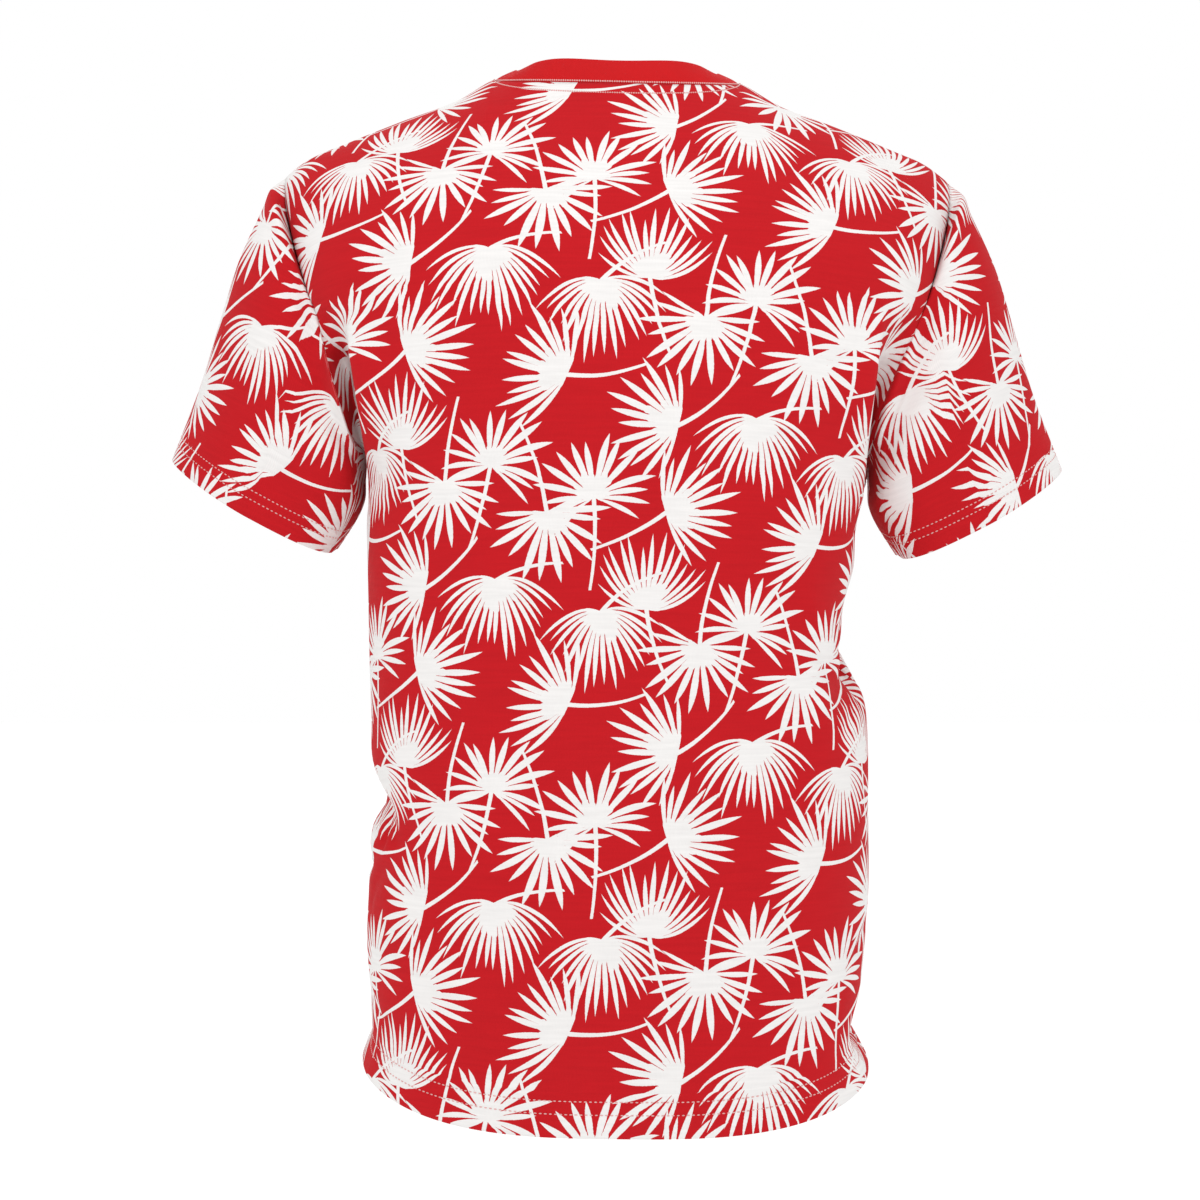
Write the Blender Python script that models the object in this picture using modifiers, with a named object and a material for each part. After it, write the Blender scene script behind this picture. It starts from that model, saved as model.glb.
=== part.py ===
"""A crew-neck t-shirt with short set-in sleeves, in the hollow shape that it has when it is worn.

Metres, +Z up. The origin is midway between the two points where the shoulder seams meet the neck,
which is where a wearer's shoulders carry it. The wearer faces -Y, so the back is at +Y and the
wearer's left is at +X. The five pieces are the ones that are cut and sewn: back, front, two
sleeves and a neckband. Each is a grid of points on the worn form, which gets the cloth's thickness
inwards. The hems are the pieces' own edges, turned up, so the wall is double there.
"""

import math

import bpy
import numpy as np

# ---- Cloth
CLOTH = 0.0014  # wall of one layer of jersey
HEM_CLOTH = 0.0028  # wall where a hem is turned up
RIB = 0.0026  # wall of the neckband, which is folded double
# Pieces that are sewn together are about 0.3 mm apart at their nearest points. Their outer edges
# need more than that where the wall's inner edge leans across the seam.
SIDE_GAP = 0.0003  # each panel's edge stops this far from the line of the side seam
SHOULDER_GAP = 0.0004  # and this far from the line of the shoulder seam
SLEEVE_GAP = 0.0015  # a sleeve's edge starts this far from the edge of the armhole
BAND_GAP = 0.0006  # and the neckband's this far from the neckline
HEM_DEPTH = 0.025  # of the bottom hem
CUFF_DEPTH = 0.019  # of the hem of a sleeve
LEAN = 0.010  # the shirt hangs this much lower on the right, for each metre sideways

# ---- Neckline, seen from above, and the neckband that stands on it
NECK_HALF = 0.0855  # centre to where the shoulder seam meets the neck
NECK_BACK = 0.062  # how far the neckline reaches behind the shoulder seams
NECK_FRONT = 0.088  # and in front of them
NECK_SQUARE = 2.2  # 2 is an ellipse, more is squarer
BAND_COLUMNS = ("turn", "lean", "lift")
BAND = (
    (0.0, 0.0045, 0.0168),  # centre back
    (0.5, 0.0145, 0.0088),  # shoulder seam
    (1.0, 0.0110, 0.0135),  # centre front
)

# ---- Line of the shoulder seam, seen from behind. Its rows inside the neck only shape the back and
# the front near the neckline.
SHOULDER_COLUMNS = ("out", "z")
SHOULDER = (
    (0.0000, 0.0094),
    (0.0250, 0.0085),
    (0.0500, 0.0055),
    (0.0855, 0.0000),  # neck
    (0.1100, -0.0142),
    (0.1500, -0.0296),
    (0.1900, -0.0456),
    (0.2160, -0.0568),
    (0.2315, -0.0680),  # top of the armhole
)

# ---- Body: a row for each level, from the hem up to the shoulder blades. "half" is half the width,
# "back" and "front" are the depths behind and in front of the side seams.
UNDERARM_Z = -0.262
BODY_COLUMNS = ("side_z", "back_z", "front_z", "half", "back", "front", "square")
BODY = (
    (-0.677, -0.709, -0.706, 0.1770, 0.134, 0.136, 2.6),  # hem
    (-0.650, -0.679, -0.676, 0.1710, 0.132, 0.134, 2.6),  # above the hem's flare
    (-0.600, -0.618, -0.616, 0.1730, 0.130, 0.133, 2.6),  # hip
    (-0.500, -0.506, -0.506, 0.1725, 0.124, 0.131, 2.6),  # below the waist
    (-0.400, -0.400, -0.402, 0.1715, 0.121, 0.132, 2.6),  # waist
    (-0.320, -0.318, -0.322, 0.1732, 0.125, 0.138, 2.7),  # ribs
    (-0.262, -0.258, -0.268, 0.1750, 0.129, 0.142, 2.8),  # underarm
    (-0.210, -0.205, -0.222, 0.2010, 0.131, 0.142, 2.6),  # middle of the armhole
    (-0.158, -0.158, -0.186, 0.2200, 0.130, 0.139, 2.5),  # shoulder blades
)
TOP_HALF = 0.241  # the form's half width at the shoulder seams
LEVEL_BEND = 1.6  # how long a row stays at the centre's level before it goes to the side's: 1 is shortest
# How the back and the front curve over to the shoulder seam, as shares of the whole rise and depth:
# how far they go straight up before they turn and how far they lie flat before the seam. Then how
# far the centre goes straight up, and the rise and the run of its slope up to the neckline.
BACK_CURVE = (0.40, 0.40, 0.28, 0.25, 0.19)
FRONT_CURVE = (0.42, 0.34, 0.22, 0.23, 0.25)
BACK_FALL = 0.213  # how much lower the neckline lies for each metre that it reaches back
FRONT_FALL = 0.557  # and forward

# ---- Edge of the armhole, from the underarm to the shoulder blades
ARMHOLE_COLUMNS = ("side_z", "half")
ARMHOLE = (
    (-0.262, 0.1750),
    (-0.243, 0.1782),
    (-0.220, 0.1850),
    (-0.190, 0.1962),
    (-0.158, 0.2102),
)
ARMHOLE_BEND = 1.8  # how much the edge bends on its way from there to the shoulder; 1 is straight
FRONT_SCOOP = 0.006  # the front armhole is cut this much deeper, at mid height

# ---- Sleeve: a row for each section, from just past the armhole to the cuff. "outer" and "inner"
# are its ends seen from behind, "back" and "front" its depths, and the two last columns say how far
# the edge hangs below the line between those ends.
SLEEVE_COLUMNS = (
    "along", "outer_x", "outer_z", "inner_x", "inner_z", "back", "front", "middle_y", "dip_back", "dip_front",
)
SLEEVE = (
    (0.05, 0.2396, -0.0755, 0.1756, -0.2665, 0.055, 0.054, 0.000, 0.000, 0.000),
    (0.14, 0.2470, -0.0905, 0.1762, -0.2730, 0.059, 0.058, -0.001, 0.001, 0.000),
    (0.30, 0.2620, -0.1220, 0.1768, -0.2810, 0.062, 0.061, -0.002, 0.003, 0.001),
    (0.55, 0.2775, -0.1670, 0.1776, -0.2950, 0.060, 0.059, -0.005, 0.005, 0.002),
    (0.80, 0.2935, -0.2170, 0.1828, -0.3110, 0.054, 0.053, -0.008, 0.008, 0.003),
    (1.00, 0.3130, -0.2660, 0.1965, -0.3275, 0.050, 0.049, -0.010, 0.010, 0.003),
)
SLEEVE_SQUARE = 2.2

# ---- Largest folds: soft troughs from one place on the body to another. "around" is a distance
# round the body from the centre back, positive towards the left side seam at 0.25.
QUARTER = 0.25
FOLD_COLUMNS = ("around_1", "z_1", "around_2", "z_2", "depth", "width")
FOLDS = (
    (0.130, -0.525, 0.340, -0.450, 0.0095, 0.015),  # left side, above the hip
    (0.120, -0.550, 0.340, -0.520, 0.0030, 0.040),  # and the slack below it
    (-0.150, -0.435, -0.340, -0.345, 0.0105, 0.018),  # right side, at the waist
    (-0.140, -0.375, -0.350, -0.340, 0.0115, 0.045),  # and the slack above it
    (-0.190, -0.665, -0.310, -0.632, 0.0100, 0.017),  # right side, above the hem
    (0.190, -0.672, 0.310, -0.642, 0.0040, 0.012),  # left side, above the hem
)

# ---- How finely the pieces are divided
HALF_COLUMNS = 14  # from the centre line of a panel to its side
NECK_COLUMNS = 6  # how many of those end at the neckline
BODY_ROWS = 17  # hem to underarm
ARMHOLE_ROWS = 6  # underarm to shoulder blades
YOKE_ROWS = 7  # shoulder blades to shoulder seam
SEAM_ROW = 0.98  # one more row this far up, so that the edge along the seam lies flat
SLEEVE_ROWS = 8
BAND_ROWS = 2
CUT_SPREAD = 3  # how near the armhole its cut squeezes a row's points: 1 is all along the row
FINE_STEPS = 600  # for curves that are measured along their length

RED = (0.58, 0.016, 0.022, 1.0)
ROUGHNESS = 0.85


def column(names, rows, name):
    """One named column of a table."""
    return np.array([row[names.index(name)] for row in rows])


def smooth(knots, values, at):
    """A smooth curve through the values at the knots, read at one or more places."""
    slopes = np.gradient(values, knots, axis=0)
    at = np.atleast_1d(np.asarray(at, float))
    low = np.clip(np.searchsorted(knots, at) - 1, 0, len(knots) - 2)
    step = knots[low + 1] - knots[low]
    part = (at - knots[low]) / step
    shape = (-1,) + (1,) * (values.ndim - 1)
    part, step = part.reshape(shape), step.reshape(shape)
    return (
        (2 * part**3 - 3 * part**2 + 1) * values[low]
        + (part**3 - 2 * part**2 + part) * step * slopes[low]
        + (3 * part**2 - 2 * part**3) * values[low + 1]
        + (part**3 - part**2) * step * slopes[low + 1]
    )


def read(names, rows, name, at):
    """A column of a table, read smoothly at a value of the table's first column."""
    return float(smooth(column(names, rows, names[0]), column(names, rows, name), at)[0])


def leaned(points):
    """The points with the shirt's slight lean to the right."""
    return points + np.stack([0 * points[..., 0], 0 * points[..., 0], LEAN * points[..., 0]], axis=-1)


def seam_height(x):
    """Height of the line of the shoulder seam at distances from the centre."""
    return smooth(column(SHOULDER_COLUMNS, SHOULDER, "out"), column(SHOULDER_COLUMNS, SHOULDER, "z"), x)


def fold_depth(around, z):
    """How far the folds push the cloth in at each point of the body."""
    total = np.zeros_like(z)
    for row in FOLDS:
        fold = dict(zip(FOLD_COLUMNS, row))
        run, rise = fold["around_2"] - fold["around_1"], fold["z_2"] - fold["z_1"]
        length = math.hypot(run, rise)
        out, up = around - fold["around_1"], z - fold["z_1"]
        along = (out * run + up * rise) / length**2
        off = (out * rise - up * run) / length
        fade = np.clip(1 - (2 * along - 1) ** 2, 0, 1)
        total += fold["depth"] * fade * np.exp(-((off / fold["width"]) ** 2))
    return total


def quarter_row(half, depth, square, end_x, shares):
    """A quarter of a body section, from the centre line to end_x, at shares of its length.

    The shares near the centre keep their places when the row is cut short by the armhole."""
    turn = np.linspace(0, math.pi / 2, FINE_STEPS)
    x = half * np.sin(turn) ** (2 / square)
    y = depth * np.abs(np.cos(turn)) ** (2 / square)
    run = np.concatenate([[0], np.cumsum(np.hypot(np.diff(x), np.diff(y)))])
    end = np.interp(end_x, x, run) if end_x < half else run[-1] - SIDE_GAP
    at = run[-1] * shares - (run[-1] - end) * shares**CUT_SPREAD
    return np.interp(at, run, x), np.interp(at, run, y)


class Panel:
    """The back or the front, as rows of points from hem to shoulder, each from right to left."""

    def __init__(self, name, sign, curve, neck_depth, fall, scoop):
        self.name = name
        self.sign = sign
        self.curve = curve
        self.neck_depth = neck_depth
        self.fall = fall
        self.scoop = scoop
        self.shares = np.linspace(0, 1, HALF_COLUMNS + 1)
        self.top = BODY[-1][0]
        self.rows = self.body_rows() + self.yoke_rows()

    def size(self, name, side_z):
        return read(BODY_COLUMNS, BODY, name, side_z)

    def armhole_half(self, side_z):
        share = (side_z - UNDERARM_Z) / (self.top - UNDERARM_Z)
        return read(ARMHOLE_COLUMNS, ARMHOLE, "half", side_z) - self.scoop * math.sin(math.pi / 2 * share)

    def level(self, side_z):
        """Half a row round the body at a level, and the direction outwards at each point."""
        half, depth, square = (self.size(name, side_z) for name in ("half", self.name, "square"))
        end_x = half if side_z <= UNDERARM_Z else self.armhole_half(side_z)
        x, y = quarter_row(half, depth, square, end_x, self.shares)
        rise = (1 - np.cos(math.pi * self.shares**LEVEL_BEND)) / 2
        z = self.size(self.name + "_z", side_z) * (1 - rise) + side_z * rise
        out = np.stack([x ** (square - 1) / half**square, y ** (square - 1) / depth**square], axis=1)
        return x, y, z, out / np.linalg.norm(out, axis=1)[:, None]

    def both_sides(self, x, y, z, out):
        """A whole row, with the folds pressed into each side."""
        quarters = self.shares if self.sign > 0 else 2 - self.shares
        sides = []
        for side in (-1, 1):
            push = fold_depth(side * QUARTER * quarters, z)[:, None] * out
            sides.append(np.column_stack([side * (x - push[:, 0]), self.sign * (y - push[:, 1]), z]))
        return np.concatenate([sides[0][:0:-1], sides[1]])

    def body_rows(self):
        levels = [BODY[0][0], BODY[0][0] + HEM_DEPTH, BODY[0][0] + HEM_DEPTH + CLOTH]
        levels += list(np.linspace(levels[-1], UNDERARM_Z, BODY_ROWS - 1))[1:]
        levels += list(np.linspace(UNDERARM_Z, self.top, ARMHOLE_ROWS + 1))[1:]
        return [self.both_sides(*self.level(side_z)) for side_z in levels]

    def over_shoulder(self, turn, end_left, end_climb, neck):
        """How much of the depth is left, and of the rise is done, as turn goes from 0 to 1."""
        up, flat, up_neck, rise, run = self.curve
        back = 1 - turn
        first = up + (up_neck - up) * neck
        left = end_left + flat * (1 - neck) + run * neck
        left = back**3 + 3 * back**2 * turn + 3 * back * turn**2 * left + turn**3 * end_left
        climb = end_climb - rise * neck
        climb = 3 * back**2 * turn * first + 3 * back * turn**2 * climb + turn**3 * end_climb
        return left, climb

    def top_edge(self, start_z):
        """Where each column ends: on the neckline near the centre, then on the shoulder seam."""
        neck = np.linspace(0, math.pi / 2, NECK_COLUMNS + 1)
        neck_x = NECK_HALF * np.sin(neck) ** (2 / NECK_SQUARE)
        share = np.abs(np.cos(neck)) ** (2 / NECK_SQUARE)
        seam_x = np.linspace(NECK_HALF, SHOULDER[-1][0], HALF_COLUMNS - NECK_COLUMNS + 1)[1:]
        x = np.concatenate([neck_x, seam_x])
        neck = np.concatenate([share, np.zeros(len(seam_x))])
        y = np.maximum(self.neck_depth * neck, SHOULDER_GAP)
        z = np.concatenate([-self.fall * y[: NECK_COLUMNS + 1], seam_height(seam_x)])
        climb = np.minimum((z - start_z) / (seam_height(x) - start_z), 1)
        return x, y / self.reach(x, climb), climb, neck

    def reach(self, x, climb):
        """Depth of the form at x, once this much of the rise to the shoulder is done."""
        half, depth, square = (self.size(name, self.top) for name in ("half", self.name, "square"))
        wide = half + (TOP_HALF - half) * climb
        return depth * (1 - (x / wide) ** square) ** (1 / square)

    def yoke_rows(self):
        """Rows from the shoulder blades over to the shoulder seam and the neckline."""
        start_x, _, start_z, _ = self.level(self.top)
        end_x, end_left, end_climb, neck = self.top_edge(start_z)
        rows = []
        for share in [*np.linspace(0, 1, YOKE_ROWS + 1)[1:-1], SEAM_ROW, 1]:
            left, climb = self.over_shoulder(share, end_left, end_climb, neck)
            part = np.clip(climb / end_climb, 0, 1)
            x = end_x + (start_x - end_x) * (1 - part) ** ARMHOLE_BEND
            z = start_z + (seam_height(x) - start_z) * climb
            row = np.stack([x, self.sign * left * self.reach(x, climb), z], axis=1)
            rows.append(np.concatenate([row[:0:-1] * (-1, 1, 1), row]))
        return rows

    def armhole(self, side):
        """The armhole's edge from the underarm to the shoulder, on the left (1) or right (-1)."""
        edge = np.array(self.rows)[:, -1 if side > 0 else 0]
        return edge[-(ARMHOLE_ROWS + YOKE_ROWS + 2):]

    def neckline(self):
        """The edge that the neckband is sewn to, from right to left."""
        return self.rows[-1][HALF_COLUMNS - NECK_COLUMNS : HALF_COLUMNS + NECK_COLUMNS + 1]


def sleeve_section(along, angles):
    """One section of the left sleeve. Angle 0 is at the underarm and positive angles go round the back."""
    value = {name: read(SLEEVE_COLUMNS, SLEEVE, name, along) for name in SLEEVE_COLUMNS[1:]}
    flat = np.sign(np.cos(angles)) * np.abs(np.cos(angles)) ** (2 / SLEEVE_SQUARE)
    deep = np.abs(np.sin(angles)) ** (2 / SLEEVE_SQUARE)
    behind = np.sin(angles) > 0
    x = (value["inner_x"] + value["outer_x"]) / 2 + flat * (value["inner_x"] - value["outer_x"]) / 2
    z = (value["inner_z"] + value["outer_z"]) / 2 + flat * (value["inner_z"] - value["outer_z"]) / 2
    y = value["middle_y"] + np.where(behind, value["back"], -value["front"]) * deep
    return np.stack([x, y, z - np.where(behind, value["dip_back"], value["dip_front"]) * deep], axis=1)


def sleeve_rows(back, front, side):
    """The rows of a sleeve, from the armhole's edge to the cuff, each a closed ring."""
    up, down = back.armhole(side), front.armhole(side)
    # The two panels meet at the underarm and at the shoulder, where one point stands for both.
    ring = np.concatenate([[(up[0] + down[0]) / 2], up[1:-1], [(up[-1] + down[-1]) / 2], down[-2:0:-1]])
    ring = ring * (side, 1, 1)
    run = np.concatenate([[0], np.cumsum(np.linalg.norm(np.diff(ring, axis=0), axis=1))])
    top = len(up) - 1
    whole = run[-1] + np.linalg.norm(ring[0] - ring[-1])
    angles = np.where(
        np.arange(len(ring)) <= top,
        math.pi * run / run[top],
        math.pi + math.pi * (run - run[top]) / (whole - run[top]),
    )
    knots = np.concatenate([[0], column(SLEEVE_COLUMNS, SLEEVE, "along")])
    sections = np.array([ring] + [sleeve_section(along, angles) for along in knots[1:]])
    length = np.linalg.norm(sections[-1] - sections[0], axis=1).mean()
    hem = 1 - CUFF_DEPTH / length
    places = list(np.linspace(0, hem - CLOTH / length, SLEEVE_ROWS)[1:]) + [hem, 1]
    rows = [smooth(knots, sections, at)[0] for at in places]
    # The sleeve starts the seam's gap away from the panels, all along the armhole.
    start = sections[1] - sections[0]
    rows.insert(0, ring + start * (SLEEVE_GAP / np.linalg.norm(start, axis=1))[:, None])
    return [row * (side, 1, 1) for row in rows]


def band_rows(back, front):
    """The rows of the neckband, from its seam to its fold, each a closed ring."""
    ring = np.concatenate([back.neckline()[::-1], front.neckline()[1:-1]])
    turns = np.abs(np.linspace(-0.5, 1.5, len(ring) + 1)[:-1])
    turns = np.minimum(turns, 2 - turns)
    knots = column(BAND_COLUMNS, BAND, "turn")
    lean = smooth(knots, column(BAND_COLUMNS, BAND, "lean"), turns)
    lift = smooth(knots, column(BAND_COLUMNS, BAND, "lift"), turns)
    middle = np.array([0, (NECK_BACK - NECK_FRONT) / 2])
    inwards = middle - ring[:, :2]
    inwards /= np.linalg.norm(inwards, axis=1)[:, None]
    step = np.column_stack([inwards * lean[:, None], lift])
    reach = np.linspace(BAND_GAP / np.linalg.norm(step, axis=1).mean(), 1, BAND_ROWS + 1)
    return [ring + step * share for share in reach]


def material(name):
    made = bpy.data.materials.new(name)
    made.use_nodes = True
    shader = made.node_tree.nodes["Principled BSDF"]
    shader.inputs["Base Color"].default_value = RED
    shader.inputs["Roughness"].default_value = ROUGHNESS
    shader.inputs["Metallic"].default_value = 0.0
    made.diffuse_color = RED
    return made


def cloth_piece(name, rows, closed, flip, wall, hem_rows):
    """An object from rows of points, with a wall of cloth inwards and a thicker one at hem_rows."""
    points = leaned(np.array(rows))
    count, width = points.shape[:2]
    faces = []
    for i in range(count - 1):
        for j in range(width if closed else width - 1):
            k = (j + 1) % width
            face = (i * width + j, i * width + k, (i + 1) * width + k, (i + 1) * width + j)
            faces.append(face[::-1] if flip else face)
    mesh = bpy.data.meshes.new(name)
    mesh.from_pydata(points.reshape(-1, 3).tolist(), [], faces)
    mesh.materials.append(material(name))
    mesh.shade_smooth()
    piece = bpy.data.objects.new(name, mesh)
    collection.objects.link(piece)
    thickest = HEM_CLOTH if hem_rows else wall
    walls = piece.vertex_groups.new(name="wall")
    for i in range(count):
        share = 1.0 if i in hem_rows else wall / thickest
        walls.add(range(i * width, (i + 1) * width), share, "REPLACE")
    shell = piece.modifiers.new("wall", "SOLIDIFY")
    shell.thickness = thickest
    shell.offset = -1
    shell.use_even_offset = True
    shell.use_quality_normals = True
    shell.vertex_group = walls.name
    return piece


def build():
    back = Panel("back", 1, BACK_CURVE, NECK_BACK, BACK_FALL, 0)
    front = Panel("front", -1, FRONT_CURVE, NECK_FRONT, FRONT_FALL, FRONT_SCOOP)
    cloth_piece("back", back.rows, False, True, CLOTH, (0, 1))
    cloth_piece("front", front.rows, False, False, CLOTH, (0, 1))
    for name, side in (("sleeve_left", 1), ("sleeve_right", -1)):
        rows = sleeve_rows(back, front, side)
        cloth_piece(name, rows, True, side < 0, CLOTH, (len(rows) - 2, len(rows) - 1))
    cloth_piece("neckband", band_rows(back, front), True, False, RIB, ())


for old in list(bpy.data.objects):
    bpy.data.objects.remove(old)
collection = bpy.data.collections.new("t_shirt")
bpy.context.scene.collection.children.link(collection)
build()
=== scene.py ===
# %% [markdown]
# # A printed t-shirt that nobody wears
# This lesson makes the looks of a crew-neck t-shirt around a finished set of solids: back, front,
# two sleeves and a neckband. The shirt keeps the shape that it has on a body, but it is hollow and
# open at the neck, the hem and the cuffs. The solids are plain, thick and faceted, which is right
# for weighing and touching. Here each becomes thin cloth with creases, stitches and a print.

import math

import bpy
import numpy as np
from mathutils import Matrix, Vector


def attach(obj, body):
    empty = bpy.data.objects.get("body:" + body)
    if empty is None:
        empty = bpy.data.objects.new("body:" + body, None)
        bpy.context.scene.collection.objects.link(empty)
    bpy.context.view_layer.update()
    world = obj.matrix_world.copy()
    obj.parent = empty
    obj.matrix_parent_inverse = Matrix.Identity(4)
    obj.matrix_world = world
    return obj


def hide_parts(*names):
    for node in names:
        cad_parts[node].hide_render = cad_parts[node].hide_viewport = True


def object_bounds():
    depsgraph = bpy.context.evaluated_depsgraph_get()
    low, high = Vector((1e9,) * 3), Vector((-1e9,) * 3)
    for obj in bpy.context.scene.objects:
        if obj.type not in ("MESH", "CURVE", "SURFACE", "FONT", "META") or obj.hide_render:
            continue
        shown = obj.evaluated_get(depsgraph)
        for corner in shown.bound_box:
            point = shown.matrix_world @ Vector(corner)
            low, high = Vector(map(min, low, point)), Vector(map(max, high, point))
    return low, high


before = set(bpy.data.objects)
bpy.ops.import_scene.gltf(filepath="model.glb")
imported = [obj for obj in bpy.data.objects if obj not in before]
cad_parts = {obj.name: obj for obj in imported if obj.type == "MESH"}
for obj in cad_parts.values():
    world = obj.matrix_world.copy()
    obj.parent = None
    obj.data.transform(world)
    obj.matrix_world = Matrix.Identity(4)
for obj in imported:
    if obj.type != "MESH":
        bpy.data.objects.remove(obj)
cad_low, cad_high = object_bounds()

# %% [markdown]
# ## The worn form
# The solids were made from rows of points on a general figure, given by a few short tables. Cloth
# for a close look needs many more rows than a solid should have. Sampling the solids again would
# keep their facets, so the same tables are read again, more finely. All sizes are in metres: +Z is
# up, the back of the shirt is at +Y, and the wearer's left is at +X.

# %% Neck and shoulders
LEAN = 0.010  # the shirt hangs this much lower on the right, for each metre sideways
SHOULDER_LEVEL = 0.8  # the share of that lean which the shoulders don't have
SHOULDER_FADE = 0.20  # how far below the neck they have all of it again
NECK_LEAN = 0.0013  # how much each side of the neck goes up or down besides
NECK_LEAN_HALF = 0.06  # how far from the centre it has most of that
NECK_LEAN_FADE = 0.35  # and how far below the neck it ends
NECK_HALF = 0.0855  # centre to where the shoulder seam meets the neck
NECK_BACK = 0.062  # how far the neckline reaches behind the shoulder seams
NECK_FRONT = 0.088  # and in front of them
NECK_SQUARE = 2.2  # 2 is an ellipse, more is squarer
TOP_HALF = 0.241  # the form's half width at the shoulder seams
SHOULDER_COLUMNS = ("out", "z")
SHOULDER = (
    (0.0000, 0.0094),
    (0.0250, 0.0085),
    (0.0500, 0.0055),
    (0.0855, 0.0000),  # neck
    (0.1100, -0.0142),
    (0.1500, -0.0296),
    (0.1900, -0.0456),
    (0.2160, -0.0568),
    (0.2315, -0.0680),  # top of the armhole
)
# How far the cloth goes straight up before it turns over the shoulder, and how far it lies flat
# before the seam, as shares of the rise and of the depth. Then how far it goes straight up at the
# centre, and the rise and the run of its slope up to the neckline.
BACK_CURVE = (0.40, 0.40, 0.28, 0.25, 0.19)
FRONT_CURVE = (0.42, 0.34, 0.22, 0.23, 0.25)
BACK_FALL = 0.213  # how much lower the neckline lies for each metre that it reaches back
FRONT_FALL = 0.557  # and forward

# %% Body
UNDERARM_Z = -0.262
LEVEL_BEND = 1.6  # how long a row stays at the centre's level before it goes to the side's
BODY_COLUMNS = ("side_z", "back_z", "front_z", "half", "back", "front", "square")
BODY = (
    (-0.677, -0.709, -0.706, 0.1770, 0.134, 0.136, 2.6),  # hem
    (-0.650, -0.679, -0.676, 0.1710, 0.132, 0.134, 2.6),  # above the hem's flare
    (-0.600, -0.618, -0.616, 0.1730, 0.130, 0.133, 2.6),  # hip
    (-0.500, -0.506, -0.506, 0.1725, 0.124, 0.131, 2.6),  # below the waist
    (-0.400, -0.400, -0.402, 0.1715, 0.121, 0.132, 2.6),  # waist
    (-0.320, -0.318, -0.322, 0.1732, 0.125, 0.138, 2.7),  # ribs
    (-0.262, -0.258, -0.268, 0.1750, 0.129, 0.142, 2.8),  # underarm
    (-0.210, -0.205, -0.222, 0.2010, 0.131, 0.142, 2.6),  # middle of the armhole
    (-0.158, -0.158, -0.186, 0.2200, 0.130, 0.139, 2.5),  # shoulder blades
)
ARMHOLE_COLUMNS = ("side_z", "half")
ARMHOLE = (
    (-0.262, 0.1750),
    (-0.243, 0.1782),
    (-0.220, 0.1850),
    (-0.190, 0.1962),
    (-0.158, 0.2102),
)
ARMHOLE_BEND = 1.8  # how much the armhole's edge bends on its way up to the shoulder
FRONT_SCOOP = 0.006  # the front armhole is cut this much deeper, at mid height

# %% Sleeves, neckband and hems
# A row for each section, from just past the armhole to the cuff: its ends as seen from behind, its
# depths, and how far its edge hangs below the line between those ends.
SLEEVE_COLUMNS = (
    "along", "outer_x", "outer_z", "inner_x", "inner_z", "back", "front", "middle_y", "dip_back", "dip_front",
)
SLEEVE = (
    (0.05, 0.2396, -0.0755, 0.1756, -0.2665, 0.055, 0.054, 0.000, 0.000, 0.000),
    (0.14, 0.2470, -0.0905, 0.1762, -0.2730, 0.059, 0.058, -0.001, 0.001, 0.000),
    (0.30, 0.2620, -0.1220, 0.1768, -0.2810, 0.062, 0.061, -0.002, 0.003, 0.001),
    (0.55, 0.2775, -0.1670, 0.1776, -0.2950, 0.060, 0.059, -0.005, 0.005, 0.002),
    (0.80, 0.2935, -0.2170, 0.1848, -0.3100, 0.054, 0.053, -0.008, 0.008, 0.003),
    (1.00, 0.3130, -0.2660, 0.1965, -0.3275, 0.050, 0.049, -0.010, 0.010, 0.003),
)
SLEEVE_SQUARE = 2.9  # the inner half of its section: more is squarer
SLEEVE_ROUND = 2.2  # the outer half at the armhole
SLEEVE_SHARP = 1.6  # and at the cuff: less than 2 is pointed
BAND_COLUMNS = ("turn", "lean", "lift")  # how far the band's top leans in and stands up
BAND = (
    (0.00, 0.0055, 0.0162),  # centre back
    (0.18, 0.0062, 0.0163),
    (0.25, 0.0092, 0.0146),
    (0.32, 0.0130, 0.0119),
    (0.40, 0.0149, 0.0092),
    (0.50, 0.0148, 0.0084),  # shoulder seam
    (1.00, 0.0110, 0.0135),  # centre front
)
HEM_DEPTH = 0.025
CUFF_DEPTH = 0.019
HEM_STITCHES = (0.0143, 0.0227)  # rows of stitches, above the hem's edge
CUFF_STITCHES = (0.0115, 0.0175)  # above the cuff's
NECK_STITCHES = (0.0014, 0.0088)  # above the neck seam, on the band, and below it, on the panels
JERSEY = 0.0009  # one layer of cloth
HEM = 0.0019  # where it is turned up
RIB = 0.0020  # the neckband, folded double

# %% [markdown]
# ## Large folds and small creases
# The large folds are part of the form: the slack of a shirt gathers at its sides. A fold is a soft
# trough from one place to another, given round the body and by height. The smaller creases are
# only here. They are given on the cut panel, across from its centre line and up from its hem, as a
# maker would chalk them, each with its own length, bow, depth and width, because no two are alike.

# %% Tables of folds and creases
QUARTER = 0.25  # round the body, from the centre back to a side seam
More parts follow.
